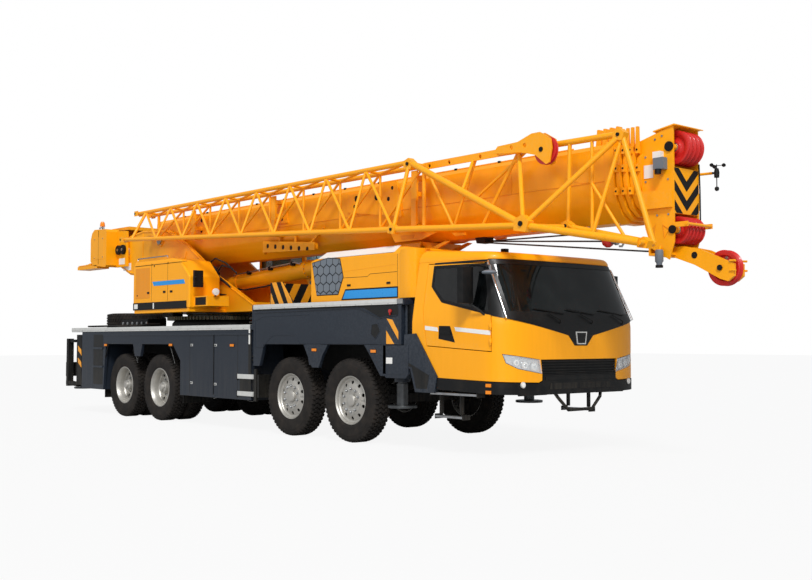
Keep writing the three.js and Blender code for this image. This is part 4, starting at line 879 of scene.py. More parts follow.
def cushion(name, low, high, tilt=0.0, replaces=(), body="carrier"):
    # a crowned closed form whose sides pull in between its corners, with two sewn channels
    (x0, y0, z0), (x1, y1, z1) = low, high
    middle, size = Vector(((x0 + x1) / 2, (y0 + y1) / 2, (z0 + z1) / 2)), Vector((x1 - x0, y1 - y0, z1 - z0))
    work = bmesh.new()
    bmesh.ops.create_cube(work, size=1.0)
    bmesh.ops.subdivide_edges(work, edges=work.edges, cuts=7, use_grid_fill=True)
    thin = min(range(3), key=lambda k: size[k])
    wide = [k for k in range(3) if k != thin]
    for v in work.verts:
        u, w = v.co[wide[0]] * 2, v.co[wide[1]] * 2
        puff = (1 - u ** 4) * (1 - w ** 4)
        channel = sum(math.exp(-((w - c) / 0.07) ** 2) for c in (-0.42, 0.42))
        v.co[thin] *= 0.78 + 0.22 * puff - 0.07 * channel
        pull = 1 - 0.035 * (1 - abs(v.co[thin] * 2)) * 0.5
        corner = abs(u * w) ** 3
        v.co[wide[0]] *= pull * (1 - 0.05 * corner)
        v.co[wide[1]] *= pull * (1 - 0.05 * corner)
    mesh = bpy.data.meshes.new(name)
    for v in work.verts:
        v.co = Vector(v.co[k] * size[k] for k in range(3))
        v.co = Matrix.Rotation(tilt, 3, "Y") @ v.co
        v.co += middle + Vector((shift, 0, 0))
    work.to_mesh(mesh)
    work.free()
    mesh.polygons.foreach_set("use_smooth", [True] * len(mesh.polygons))
    mesh.materials.append(seatCloth)
    obj = addObject(name, mesh)
    rounder = obj.modifiers.new("rounder", "SUBSURF")
    rounder.levels = rounder.render_levels = 1
    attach(obj, body)
    if replaces:
        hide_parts(*replaces)
    return obj


def makeCabSeats():
    for label, y in (("left", 0.62), ("right", -0.62)):
        cushion(f"seat_cushion_{label}", (1.84, y - 0.24, 1.52), (2.31, y + 0.24, 1.66),
                replaces=["cab_seats"] if y > 0 else ())
        cushion(f"seat_back_{label}", (1.8, y - 0.23, 1.66), (1.93, y + 0.23, 2.2), tilt=math.radians(-12))
        cushion(f"seat_head_{label}", (1.74, y - 0.13, 2.2), (1.83, y + 0.13, 2.36), tilt=math.radians(-10))
    stand = Piece("seat_stands", "carrier", "black_parts", [plastic, steel])
    for y in (0.62, -0.62):
        stand.box(1.88, 2.26, y - 0.2, y + 0.2, 1.34, 1.4)
        stand.prism([(1.92, 1.4), (2.22, 1.4), (2.12, 1.53), (1.96, 1.53)], "y", y - 0.14, y + 0.14, 1)
        stand.box(1.85, 2.29, y - 0.22, y + 0.22, 1.5, 1.525)
    stand.ready(bevel=0.008)


def makeDoors():
    for side, label in bothSides:
        door = Piece(f"door_{label}", f"cab_door_{label}", "yellow_paint",
                     [yellow, plastic, stripeWhite, chrome, frameBlack],
                     [f"cab_door_{label}"])
        turn = flip if side > 0 else list
        skinPlate(door, turn(doorLine), 0, 0.03, 0, [turn(bandLine)])
        skinPlate(door, turn(grown(bandLine, 0.006)), 0.003, 0.02, 1, [turn(grown(bandLine, -0.035))])
        stripe = [(-2.69, 1.676), (-2.45, 1.652), (-2.43, 1.598), (-2.69, 1.622)]
        skinPlate(door, turn(stripe), 0.002, 0.006, 2)
        stripe = [(-2.125, 1.655), (-1.492, 1.603), (-1.492, 1.548), (-2.1, 1.6)]
        skinPlate(door, turn(stripe), 0.002, 0.006, 2)
        pocket = [(-2.417, 1.672), (-2.208, 1.668), (-2.115, 1.455), (-2.426, 1.503)]
        skinPlate(door, turn(pocket), 0.0025, 0.01, 1, [turn(grown(pocket, -0.018))])
        skinPlate(door, turn(grown(pocket, -0.016)), 0.001, 0.006, 4)
        edge = [sideAt(2.86, 1.81), sideAt(2.902, 1.797), sideAt(2.742, 2.476), sideAt(2.68, 2.476)]
        skinPlate(door, turn(edge), 0.0035, 0.006, 1)
        bar = [(-2.38, 1.6), (-2.21, 1.595), (-2.19, 1.56), (-2.38, 1.565)]
        skinPlate(door, turn(bar), 0.012, 0.012, 1)
        for foot in (1.45, 1.64):
            door.rod((2.904, side * 1.372, foot), (2.904, side * 1.372, foot + 0.06), 0.019)
        door.ready(bevel=0.003, segments=1, sharp=40)
        pane = Piece(f"door_pane_{label}", f"cab_door_{label}", "glass", [sideGlass])
        skinPlate(pane, turn(grown(bandLine, -0.03)), -0.001, 0.005, 0)
        pane.ready()


def makeCabGlass():
    pane = Piece("windscreen_pane", "carrier", "glass", [darkGlass], ["windscreen"])
    skinPlate(pane, grown(screenOutline, 0.01), -0.003, 0.006, 0)
    pane.ready()
    black = Piece("windscreen_surround", "carrier", "black_parts", [blackPaint, plastic, silver, chrome])
    skinPlate(black, blackOutline, 0.004, 0.02, 0, [grown(screenOutline, -0.045)])
    for side in (1, -1):
        mirror = flip if side > 0 else list
        front = [sideAt(2.9, 1.79), (-1.262, 1.752), (-1.4, 2.515), sideAt(2.74, 2.47)]
        front = [(front[0][0] + 0.007, front[0][1]), front[1], front[2], (front[3][0] + 0.003, front[3][1])]
        skinPlate(black, mirror(front), 0.008, 0.02, 0, step=0.05)
        above = [sideAt(1.76, 2.515), sideAt(1.76, 2.49), sideAt(2.72, 2.487), (-1.4, 2.515)]
        skinPlate(black, mirror(above), 0.003, 0.01, 0)
        # grab bar standing off the pillar
        low, high = skinAt(side * 1.285, 1.77, 0.035), skinAt(side * 1.4, 2.47, 0.035)
        black.tube([skinAt(side * 1.285, 1.76, 0.0), low, high, skinAt(side * 1.405, 2.49, 0.0)], 0.014, 3)
    # a bare badge place with a plain bright rim
    badge = [(-0.112, 1.595), (0.112, 1.595), (0.085, 1.432), (-0.085, 1.432)]
    skinPlate(black, badge, 0.016, 0.012, 2, [grown(badge, -0.014)])
    skinPlate(black, grown(badge, -0.012), 0.012, 0.01, 0)
    for s, tip in ((-0.42, -0.62), (0.22, 0.0), (0.9, 0.68)):
        pivot, elbow, end = skinAt(s, 1.715, 0.02), skinAt(s - 0.02, 1.745, 0.035), skinAt(tip, 1.825, 0.03)
        black.tube([skinAt(s, 1.7, 0.0), pivot, elbow, end], 0.009, 1, 8)
        black.tube([skinAt(tip - 0.24, 1.885, 0.018), skinAt(tip + 0.3, 1.825, 0.018)], 0.008, 1, 6)
    black.ready(bevel=0.002, segments=1, sharp=40)
    rear = Piece("cab_rear_pane", "carrier", "glass", [sideGlass])
    rear.prism([(-0.67, 2.16), (0.67, 2.16), (0.65, 2.45), (-0.65, 2.45)], "x", 1.45, 1.457)
    rear.ready()


def makeCabFront():
    face = Piece("nose_grille", "carrier", "black_parts", [plastic, blackPaint, silver])
    skinPlate(face, [(-0.775, 1.03), (0.775, 1.03), (0.775, 1.245), (-0.775, 1.245)], -0.034, 0.01, 1)
    for k in range(5):
        z = 1.066 + k * 0.035
        face.plate([(-0.742, z), (0.742, z), (0.742, z + 0.019), (-0.742, z + 0.019)], [],
                   lambda s, h, w: skinAt(s, h, 0.004 - 0.034 * w - (0.012 if h > z + 0.01 else 0)), 0, 0.09)
    skinPlate(face, [(-0.745, 1.045), (0.745, 1.045), (0.74, 1.06), (-0.74, 1.06)], 0.006, 0.03, 0)
    face.ready(bevel=0.003, segments=1, sharp=40)
    for side, label in bothSides:
        mirror = flip if side > 0 else list
        lampBox = Piece(f"headlamp_{label}", "carrier", "silver_trim", [chrome, plastic, whiteLens, amberLens])
        skinPlate(lampBox, mirror(grown(headlight, 0.002)), -0.04, 0.008, 1)
        skinPlate(lampBox, mirror(grown(headlight, -0.012)), -0.028, 0.01, 0)
        for s, z, r in ((-0.875, 1.15, 0.058), (-1.02, 1.172, 0.055), (-1.15, 1.205, 0.048)):
            spot = skinAt(side * -s, z, -0.018)
            out = (skinAt(side * -s, z, 0.05) - spot).normalized()
            other = Vector((0, 0, 1)).cross(out).normalized()
            for radius, depth, tag in ((r, 0.006, 0), (r * 0.72, 0.012, 2), (r * 0.35, 0.018, 0)):
                ring = [spot + (other * math.cos(a) + Vector((0, 0, 1)) * math.sin(a)) * radius for a in around(20)]
                lampBox.solid(ring + [p + out * depth for p in ring],
                              [list(range(20))[::-1], [20 + i for i in range(20)]] +
                              [(i, (i + 1) % 20, 20 + (i + 1) % 20, 20 + i) for i in range(20)], tag)
        for k in range(6):
            s = -1.27 + k * 0.028
            skinPlate(lampBox, mirror([(s, 1.225), (s + 0.012, 1.225), (s + 0.012, 1.285), (s, 1.285)]), -0.012,
                      0.012, 0)
        lampBox.ready(bevel=0.002, segments=1, sharp=35)
        cover = Piece(f"headlamp_cover_{label}", "carrier", "glass", [lens])
        skinPlate(cover, mirror(headlight), 0.002, 0.005, 0)
        cover.ready()
    low = Piece("bumper_skin", "carrier", "black_parts", [plastic, frameBlack, silver, amberLens, whiteLens, steel],
                ["front_bumper"])
    end = sideAt(1.9, 0.9)[0]
    top = [(end, 0.995), (-1.37, 0.958), (-0.8, 0.942), (-0.738, 0.968), (-0.733, 1.042)]
    outline = top + flip(top) + [(-end, 0.84), (1.3, 0.805), (0.6, 0.795), (-0.6, 0.795), (-1.3, 0.805), (end, 0.84)]
    skinPlate(low, outline, 0.006, 0.09, 0)
    skinPlate(low, [(-0.7, 0.975), (0.7, 0.975), (0.7, 1.02), (-0.7, 1.02)], 0.012, 0.01, 0)
    skinPlate(low, [(-0.62, 0.86), (0.62, 0.86), (0.6, 0.94), (-0.6, 0.94)], 0.01, 0.01, 1)
    low.box(3.0, 3.16, -0.42, 0.42, 0.805, 0.96, 1)
    for side in (1, -1):
        mirror = flip if side > 0 else list
        spot = skinAt(side * 1.069, 0.925, 0.0)
        low.lathe([(0.0005, 0), (0.04, 0), (0.04, 0.018), (0.034, 0.022), (0.0005, 0.022)], spot, "x", 1, 2, 20)
        low.lathe([(0.0005, 0), (0.03, 0), (0.03, 0.026), (0.0005, 0.03)], spot, "x", 1, 4, 20)
        for z in (0.898, 0.812):
            skinPlate(low, mirror([(-1.56, z), (-1.48, z), (-1.48, z + 0.042), (-1.56, z + 0.042)]), 0.014, 0.012, 3)
        # cab steps
        for z, x0, x1, y in ((0.8, 1.8, 2.66, 1.375), (0.5, 1.86, 2.36, 1.34)):
            low.sided(side, x0, x1, (y - 0.13), y, z - 0.028, z, 5)
            low.sided(side, x0 - 0.012, x0, (y - 0.14), y, z - 0.045, z + 0.02, 1)
            low.sided(side, x1, x1 + 0.012, (y - 0.14), y, z - 0.045, z + 0.02, 1)
        for x in (1.92, 2.3):
            low.sided(side, x - 0.012, x + 0.012, 1.25, 1.31, 0.52, 0.86, 1)
    hoop = [(3.16, -0.47, 0.82), (3.19, -0.42, 0.74), (3.2, -0.24, 0.585), (3.2, 0.24, 0.585), (3.19, 0.42, 0.74),
            (3.16, 0.47, 0.82)]
    low.tube(hoop, 0.022, 1)
    low.tube([(3.06, -0.5, 0.8), (3.08, -1.05, 0.8)], 0.02, 1)
    low.tube([(3.06, 0.5, 0.8), (3.08, 1.05, 0.8)], 0.02, 1)
    low.ready(bevel=0.004, segments=2, sharp=40)


def makeMirrors():
    for side, label in bothSides:
        glass = Piece(f"door_mirror_{label}", f"cab_door_{label}", "black_parts",
                      [plastic, steel, greyPlastic, chrome], [f"mirror_{label}"])
        y0, y1 = (1.375, 1.585) if side > 0 else (-1.585, -1.375)
        shell = [(2.53, y0), (2.62, y0 + 0.012), (2.645, (y0 + y1) / 2), (2.62, y1 - 0.012), (2.53, y1)]
        glass.prism(shell, "z", 1.95, 2.41)
        glass.prism([(2.522, y0 + 0.012), (2.53, y0 + 0.012), (2.53, y1 - 0.012), (2.522, y1 - 0.012)], "z", 1.965,
                    2.18, 3)
        glass.prism([(2.522, y0 + 0.012), (2.53, y0 + 0.012), (2.53, y1 - 0.012), (2.522, y1 - 0.012)], "z", 2.2,
                    2.395, 3)
        mid = side * 1.44
        glass.tube([(2.6, mid, 2.4), (2.62, mid, 2.435), (2.66, side * 1.34, 2.44), (2.7, side * 1.245, 2.42)], 0.016)
        glass.tube([(2.6, mid, 1.96), (2.64, mid, 1.92), (2.74, side * 1.4, 1.86), (2.79, side * 1.35, 1.8)], 0.016)
        glass.ready(bevel=0.012, segments=3, sharp=35)
    kerb = Piece("kerb_mirror", "cab_door_right", "silver_trim", [greyPlastic, chrome, steel])
    kerb.lathe([(0.0005, 0.0), (0.085, 0.0), (0.098, 0.012), (0.092, 0.03), (0.05, 0.045), (0.0005, 0.05)],
                 (2.9, -1.38, 2.315), "z", 1, 0, 28)
    kerb.tube([(2.905, -1.36, 2.35), (2.87, -1.33, 2.42), (2.78, -1.29, 2.44), (2.72, -1.245, 2.42)], 0.012, 2)
    kerb.ready(bevel=0.003)


makeCabShell()
makeCabInside()
makeCabSeats()
makeDoors()
makeCabGlass()
makeCabFront()
makeMirrors()
print("cab made")


# Carrier body
bodySize = {"half": 1.4, "hexSize": 0.088, "hexGap": 0.009}


def clipTo(loop, fence):
    # the part of a convex loop inside a convex fence drawn anticlockwise
    for a, b in zip(fence, fence[1:] + fence[:1]):
        def side(p):
            return (b[0] - a[0]) * (p[1] - a[1]) - (b[1] - a[1]) * (p[0] - a[0])
        out = []
        for p, q in zip(loop, loop[1:] + loop[:1]):
            sp, sq = side(p), side(q)
            if sp >= 0:
                out.append(p)
            if sp * sq < 0:
                t = sp / (sp - sq)
                out.append((p[0] + (q[0] - p[0]) * t, p[1] + (q[1] - p[1]) * t))
        loop = out
        if len(loop) < 3:
            return []
    return loop


for node, bevel in (("deck", 0.006), ("front_fender_left", 0.01), ("front_fender_right", 0.01),
                    ("rear_body_left", 0.012), ("rear_body_right", 0.012)):
    softened(node, slate, bevel)
softened("chassis_frame", frameBlack, 0.006)
for place in ("front", "rear"):
    for label in ("left", "right"):
        softened(f"outrigger_beam_{place}_{label}", slate, 0.006)
        softened(f"outrigger_jack_{place}_{label}", darkSteel, 0.004)
softened("engine_hood", yellow, 0.02, 3)
softened("boom_rest", yellow, 0.008)
softened("engine_block", frameBlack, 0.03)


def sideBox(piece, side, x0, x1, out, depth, z0, z1, tag=0):
    piece.sided(side, x0, x1, out, out - depth, z0, z1, tag)


def sidePrism(piece, side, outline, out, depth, tag=0, holes=()):
    piece.prism(outline, "y", side * out, side * (out - depth), tag, holes)


def makeDeckTrim():
    for side, label in bothSides:
        trim = Piece(f"deck_edge_{label}", "carrier", "silver_trim", [silver, slate, steel, frameBlack])
        for x0, x1, top, drop in ((-9.34, -2.5, 1.737, 0.078), (-2.4, 1.16, 2.05, 0.07)):
            section = [(1.401, top - drop), (1.408, top - drop), (1.408, top + 0.004), (1.33, top + 0.004),
                       (1.33, top + 0.001), (1.401, top + 0.001)]
            trim.prism([(side * y, z) for y, z in section], "x", x0, x1)
            trim.prism([(side * y, z) for y, z in ((1.409, top - 0.052), (1.412, top - 0.048), (1.412, top - 0.02),
                    (1.409, top - 0.016))], "x", x0, x1)
            count = int((x1 - x0) / 0.35)
            for k in range(count):
                trim.disc((x0 + 0.17 + k * (x1 - x0) / count, side * 1.408, top - 0.062), "y", 0.007, 0.003, 2, side, 8)
        sideBox(trim, side, 1.16, 1.28, 1.408, 0.04, 1.985, 2.052, 2)
        sideBox(trim, side, -2.38, 1.16, 1.403, 0.02, 1.955, 1.979, 3)
        # tread strips on both decks
        for k in range(24):
            x = -9.2 + k * 0.28
            if not -6.35 < x < -4.65:
                trim.sided(side, x, x + 0.16, 1.05, 1.3, 1.737, 1.7395, 2)
        trim.ready(bevel=0.0015, segments=1)


def makeSideDetail():
    for side, label in bothSides:
        half = bodySize["half"]
        more = Piece(f"side_detail_{label}", "carrier", "slate_paint",
                     [slate, blackPaint, amberLens, stripeWhite, warnAmber, silver, redLens])
        # front body: pressed lines, a pentagon recess whose dark inside is painted shade, drawn as a black plate in a
        # raised rim, notch below the deck
        for line in ([(-1.97, 1.49), (-1.84, 1.56), (-1.22, 1.56), (-1.14, 1.435), (0.5, 1.43), (0.92, 1.425)],
                     [(-2.36, 1.8), (-2.36, 1.37), (-2.12, 1.37), (-1.97, 1.49)],
                     [(-2.36, 1.8), (-2.1, 1.86), (-0.9, 1.87)]):
            more.tube([(x, side * (half - 0.0005), z) for x, z in line], 0.006, 0, 8)
        pentagon = [(0.62, 1.7), (0.74, 1.71), (0.79, 1.61), (0.69, 1.51), (0.6, 1.57)]
        sidePrism(more, side, pentagon, half + 0.004, 0.02, 1)
        sidePrism(more, side, grown(pentagon, 0.014), half + 0.0045, 0.02, 0, [grown(pentagon, 0.002)])
        sidePrism(more, side, [(0.32, 1.952), (0.44, 1.945), (0.8, 1.8), (1.14, 1.815), (1.18, 1.83), (1.18, 1.952)],
                  half + 0.003, 0.02, 1)
        more.tube([(x, side * (half + 0.004), z)
                   for x, z in ((-2.36, 1.925), (0.31, 1.945), (0.79, 1.795), (1.16, 1.825))], 0.009, 0, 8)
        # warning bars, plain amber on the body colour
        sidePrism(more, side, [(0.94, 1.785), (1.06, 1.765), (1.185, 1.6), (1.185, 1.49)], half + 0.004, 0.01, 4)
        sidePrism(more, side, [(0.93, 1.62), (1.1, 1.432), (0.93, 1.432)], half + 0.004, 0.01, 4)
        sidePrism(more, side, [(0.925, 1.8), (1.2, 1.8), (1.2, 1.425), (0.925, 1.425)], half + 0.002, 0.01, 0)
        # tapered tabs of the wheel arches
        x = -0.72
        sidePrism(more, side, [(x - 0.3, 1.42), (x + 0.31, 1.42), (x + 0.18, 1.26), (x + 0.09, 1.075),
                               (x - 0.08, 1.075), (x - 0.2, 1.26)], half + 0.004, 0.05, 0)
        sidePrism(more, side, [(0.44, 1.42), (0.92, 1.42), (0.92, 0.99), (0.8, 0.99), (0.6, 1.24)], half + 0.002,
                  0.05, 0)
        for x, z in ((-0.74, 1.34), (0.655, 1.33), (-7.74, 1.39), (-5.11, 1.4), (-3.04, 1.4)):
            sideBox(more, side, x - 0.062, x + 0.062, half + 0.005, 0.01, z - 0.028, z + 0.028, 1)
            sideBox(more, side, x - 0.053, x + 0.053, half + 0.016, 0.02, z - 0.02, z + 0.02, 2)
        # rear arches: a fender lip over each pair of wheels
        for x in (-5.69, -7.11):
            arc = [(x - 0.72, 1.08), (x - 0.52, 1.44), (x + 0.52, 1.44), (x + 0.72, 1.08)]
            more.tube([(u, side * (half - 0.012), v - 0.02) for u, v in arc], 0.012, 1, 8)
        # ladder opening, tool box seams, latches
        for z0, z1 in ((1.345, 1.6), (0.975, 1.305), (0.6, 0.935)):
            sideBox(more, side, -8.3, -7.87, half + 0.002, 0.02, z0, z1, 1)
        for z in (1.325, 0.955):
            sideBox(more, side, -8.31, -7.86, half + 0.02, 0.05, z - 0.018, z + 0.018, 0)
        for x in (-4.43, -3.64, -2.87):
            sideBox(more, side, x - 0.006, x + 0.006, half + 0.001, 0.01, 0.56, 1.6, 1)
        for x in (-4.36, -3.56):
            for z in (0.74, 1.4):
                sideBox(more, side, x - 0.035, x + 0.035, half + 0.01, 0.02, z - 0.02, z + 0.02, 5)
                sideBox(more, side, x - 0.02, x + 0.02, half + 0.016, 0.02, z - 0.009, z + 0.009, 1)
        sideBox(more, side, -4.77, -2.48, half + 0.014, 0.03, 1.575, 1.6, 0)
        sideBox(more, side, -7.86, -4.77, half + 0.01, 0.03, 1.575, 1.6, 0)
        # gap between the two bodies: pipes and a bare white scale strip
        sideBox(more, side, -2.55, -2.47, half + 0.002, 0.03, 0.9, 1.66, 1)
        sideBox(more, side, -2.535, -2.5, half + 0.008, 0.02, 1.42, 1.66, 3)
        for z in (1.78, 1.84, 1.22, 1.16):
            more.rod((-2.56, side * (half - 0.03), z), (-2.38, side * (half - 0.03), z), 0.016, 1)
        # silver steps in front of the tool boxes, with their black brackets
        for z in (0.93, 0.65):
            sideBox(more, side, -2.86, -2.4, half + 0.014, 0.06, z - 0.075, z, 5)
            sideBox(more, side, -2.875, -2.86, half + 0.016, 0.07, z - 0.1, z + 0.01, 1)
        sideBox(more, side, -2.46, -2.27, half - 0.02, 0.24, 0.56, 0.93, 1)
        sideBox(more, side, -2.4, -2.33, half - 0.01, 0.04, 0.5, 1.02, 1)
        sideBox(more, side, -2.8, -2.47, half + 0.003, 0.02, 0.6, 0.86, 1)
        # mud flaps
        for x, z0 in ((-7.93, 0.34), (-4.8, 0.36)):
            inner, outer = side * 0.7, side * 1.32
            more.prism([(inner, z0), (outer, z0), (outer, 0.98), (inner, 0.98)], "x", x, x + 0.014, 1)
        # slanting guard behind the cab
        sidePrism(more, side, [(1.3, 1.56), (1.53, 1.575), (1.95, 1.01), (1.9, 0.79), (1.52, 0.79), (1.42, 1.1),
                               (1.3, 1.1)], half - 0.002, 0.16, 0)
        sidePrism(more, side, [(1.34, 1.2), (1.8, 1.02), (1.76, 0.84), (1.55, 0.84), (1.46, 1.12), (1.34, 1.14)],
                  half + 0.001, 0.02, 1)
        # outrigger jack housing
        sideBox(more, side, 0.86, 1.39, half + 0.002, 0.26, 1.02, 1.415, 0)
        more.prism([(0.86, 1.02), (1.39, 1.02), (1.33, 0.965), (0.92, 0.965)], "y", side * (half + 0.002),
                   side * (half - 0.26))
        sideBox(more, side, 0.93, 1.06, half + 0.006, 0.01, 1.16, 1.245, 3)
        # corner post between body and cab
        more.prism(circle(1.2, side * 1.24, 0.085, 20), "z", 1.42, 1.985)
        sideBox(more, side, 1.245, 1.42, 1.3, 0.3, 1.56, 1.98, 1)
        more.disc((1.02, side * (half + 0.002), 1.885), "y", 0.028, 0.02, 6, side, 14)
        more.rod((1.02, side * (half + 0.015), 1.885), (1.02, side * (half + 0.015), 1.83), 0.01, 6, 8)
        more.ready(bevel=0.003, segments=1, sharp=40)


def makeHoodDetail():
    hood = Piece("hood_detail", "carrier", "yellow_paint",
                 [yellow, frameBlack, greyPlastic, stripeBlue, stripeWhite, silver, plastic])
    for side in (1, -1):
        out = 1.25
        panel = [(-1.0, 2.66), (-0.88, 2.17), (-0.36, 2.17), (-0.24, 2.42), (-0.32, 2.69), (-0.61, 2.715)]
        fence = panel if sum(a[0] * b[1] - b[0] * a[1]
                             for a, b in zip(panel, panel[1:] + panel[:1])) > 0 else panel[::-1]
        sidePrism(hood, side, grown(panel, 0.012), out + 0.004, 0.02, 1)
        size = bodySize["hexSize"]
        for row in range(-1, 6):
            for column in range(-1, 6):
                cx = -1.02 + column * size * 1.732 + (row % 2) * size * 0.866
                cz = 2.14 + row * size * 1.5
                cell = [(cx + (size - bodySize["hexGap"]) * math.cos(math.radians(60 * k + 30)),
                         cz + (size - bodySize["hexGap"]) * math.sin(math.radians(60 * k + 30))) for k in range(6)]
                cell = clipTo(cell, fence)
                if len(cell) > 2:
                    sidePrism(hood, side, cell, out + 0.01, 0.012, 2)
        sidePrism(hood, side, [(-0.285, 2.075), (1.005, 2.075), (1.005, 2.235), (-0.185, 2.235)], out + 0.003, 0.02, 1)
        sidePrism(hood, side, [(-0.245, 2.092), (0.985, 2.092), (0.985, 2.214), (-0.175, 2.214)], out + 0.005, 0.02, 3)
        # crease lines and panel gaps
        for line in ([(-0.25, 2.405), (0.33, 2.4), (0.39, 2.435), (0.985, 2.44)], [(-0.24, 2.5), (0.95, 2.545)]):
            hood.tube([(x, side * (out - 0.001), z) for x, z in line], 0.004, 0 if line[0][1] > 2.45 else 1, 6)
        sideBox(hood, side, 0.99, 0.998, out + 0.001, 0.01, 2.08, 2.69, 1)
        for x in (-0.1, 0.8):
            sideBox(hood, side, x - 0.04, x + 0.04, out + 0.008, 0.02, 2.275, 2.305, 6)
        # white strip on the sloping shoulder: a painted highlight, standing for the sky reflected in the yellow slope
        edge = [(-0.86, 0), (0.92, 0), (0.92, 1), (-0.8, 1)]
        hood.plate(edge, [], lambda x, t, w, s=side: Vector((x, s * (1.246 - 0.128 * t + 0.005 * (1 - w)),
                2.716 + 0.1 * t + 0.006 * (1 - w))), 4)
        # rounded corner column beside the cab
        hood.prism([(1.06, side * 1.2), (1.06, side * 1.262), (1.14, side * 1.275), (1.3, side * 1.275),
                    (1.37, side * 1.24), (1.4, side * 1.17),
                    (1.4, side * 1.0), (1.06, side * 1.0)], "z", 2.055, 2.745)
        hood.prism([(1.06, side * 1.2), (1.06, side * 1.264), (1.14, side * 1.277), (1.3, side * 1.277),
                    (1.372, side * 1.242), (1.402, side * 1.17),
                    (1.4, side * 1.0), (1.06, side * 1.0)], "z", 2.055, 2.07, 6)
        # braces of the boom rest
        hood.prism([(side * 0.24, 2.8), (side * 0.3, 2.8), (side * 0.52, 2.935), (side * 0.42, 2.94)], "x", 0.02, 0.06)
        hood.prism([(0.56, 2.8), (0.62, 2.8), (0.98, 2.925), (0.9, 2.94), (0.56, 2.85)], "y", side * 0.2, side * 0.24)
        hood.prism([(0.1, 2.8), (0.48, 2.8), (0.54, 2.93), (0.04, 2.93)], "y", side * 0.37, side * 0.4)
    for k in range(9):
        hood.box(-0.4 + k * 0.13, -0.33 + k * 0.13, -0.8, 0.8, 2.79, 2.812, 6)
    # louvres in the rear wall of the hood
    hood.box(-1.062, -1.045, -1.0, 1.0, 2.12, 2.6, 1)
    for k in range(9):
        z = 2.14 + k * 0.05
        hood.prism([(-1.075, z), (-1.05, z + 0.03), (-1.05, z + 0.038), (-1.08, z + 0.008)], "y", -0.98, 0.98, 2)
    # exhaust stack and pale air intake behind the cab
    hood.lathe([(0.0005, 2.7), (0.075, 2.7), (0.075, 2.78), (0.06, 2.8), (0.06, 2.86), (0.0005, 2.86)],
               (1.15, 0.75, 0), "z", 1, 6, 24)
    hood.ready(bevel=0.003, segments=1, sharp=40)


def makeHazardPanel():
    # slanting warning bars between the two decks
    panel = Piece("warning_panel", "carrier", "yellow_paint", [warnAmber, frameBlack, slate])
    panel.box(-2.3, -2.27, -1.15, 1.15, 2.05, 2.42, 1)
    for k in range(8):
        a = -1.2 + k * 0.3
        bar = clipTo([(a, 2.05), (a + 0.14, 2.05), (a + 0.34, 2.42), (a + 0.2, 2.42)],
                     [(-1.15, 2.052), (1.15, 2.052), (1.15, 2.42), (-1.15, 2.42)])
        if len(bar) > 2:
            panel.prism(bar, "x", -2.306, -2.3)
            panel.prism(bar, "x", -2.27, -2.264)
    for side in (1, -1):
        sidePrism(panel, side, [(-2.27, 2.05), (-1.62, 2.05), (-1.95, 2.42), (-2.27, 2.42)], 1.155, 0.02, 1)
        for a in (-2.27, -2.02, -1.77):
            bar = clipTo([(a, 2.05), (a + 0.12, 2.05), (a - 0.1, 2.42), (a - 0.22, 2.42)],
                         [(-2.27, 2.052), (-1.62, 2.052), (-1.95, 2.42), (-2.27, 2.42)])
            if len(bar) > 2:
                sidePrism(panel, side, bar, 1.161, 0.01, 0)
    panel.ready(bevel=0.002, segments=1)


def makeTail():
    tail = Piece("tail_detail", "carrier", "black_parts",
                 [frameBlack, slate, redLens, amberLens, warnAmber, stripeWhite, steel, plastic])
    for side in (1, -1):
        tail.sided(side, -9.72, -9.66, 0.98, 1.36, 0.72, 1.02)
        for k, tag in enumerate((2, 3, 5, 2)):
            y = side * (1.03 + 0.09 * k)
            tail.box(-9.735, -9.715, y - 0.036, y + 0.036, 0.8, 0.92, tag)
        tail.sided(side, -9.735, -9.715, 1.0, 1.34, 0.94, 0.99, 2)
        post = -9.6 if side < 0 else -9.36  # the posts stand clear of the beam that slides out on their side
        tail.prism(circle(post + 0.05, side * 1.35, 0.05, 14), "z", 0.64, 1.48)
        sideBox(tail, side, -9.6, -9.25, 1.38, 0.1, 1.44, 1.5, 0)
        sideBox(tail, side, post, post + 0.1, 1.405, 0.12, 0.52, 1.52, 0)
        for z in (1.34, 1.09):
            sidePrism(tail, side, [(-9.03, z + 0.03), (-8.88, z - 0.05), (-8.86, z - 0.17), (-9.02, z - 0.07)], 1.408,
                      0.02, 4)
        sideBox(tail, side, -9.1, -8.86, 1.402, 0.02, 0.56, 1.6, 0)
        tail.prism([(-9.62, 0.56), (-9.1, 0.52), (-9.1, 0.6), (-9.62, 0.64)], "y", side * 1.4, side * 1.3)
    tail.box(-9.735, -9.7, -0.26, 0.26, 0.7, 0.82, 5)
    tail.lathe([(0.02, 0), (0.055, 0), (0.055, 0.03), (0.03, 0.05), (0.03, 0.09), (0.05, 0.1), (0.05, 0.12),
                (0.02, 0.12)], (-9.71, 0, 0.9), "x", -1, 6, 20)
    tail.ready(bevel=0.003, segments=1, sharp=40)
    spare = Piece("spare_clamp", "carrier", "black_parts", [frameBlack, steel])
    spare.box(-8.66, -8.54, -0.62, 0.02, 2.02, 2.05)
    spare.rod((-8.6, -0.3, 1.74), (-8.6, -0.3, 2.075), 0.018, 1)
    spare.lathe([(0.019, 2.05), (0.05, 2.05), (0.05, 2.075), (0.019, 2.075)], (-8.6, -0.3, 0), "z", 1, 1, 6)
    spare.ready(bevel=0.003)


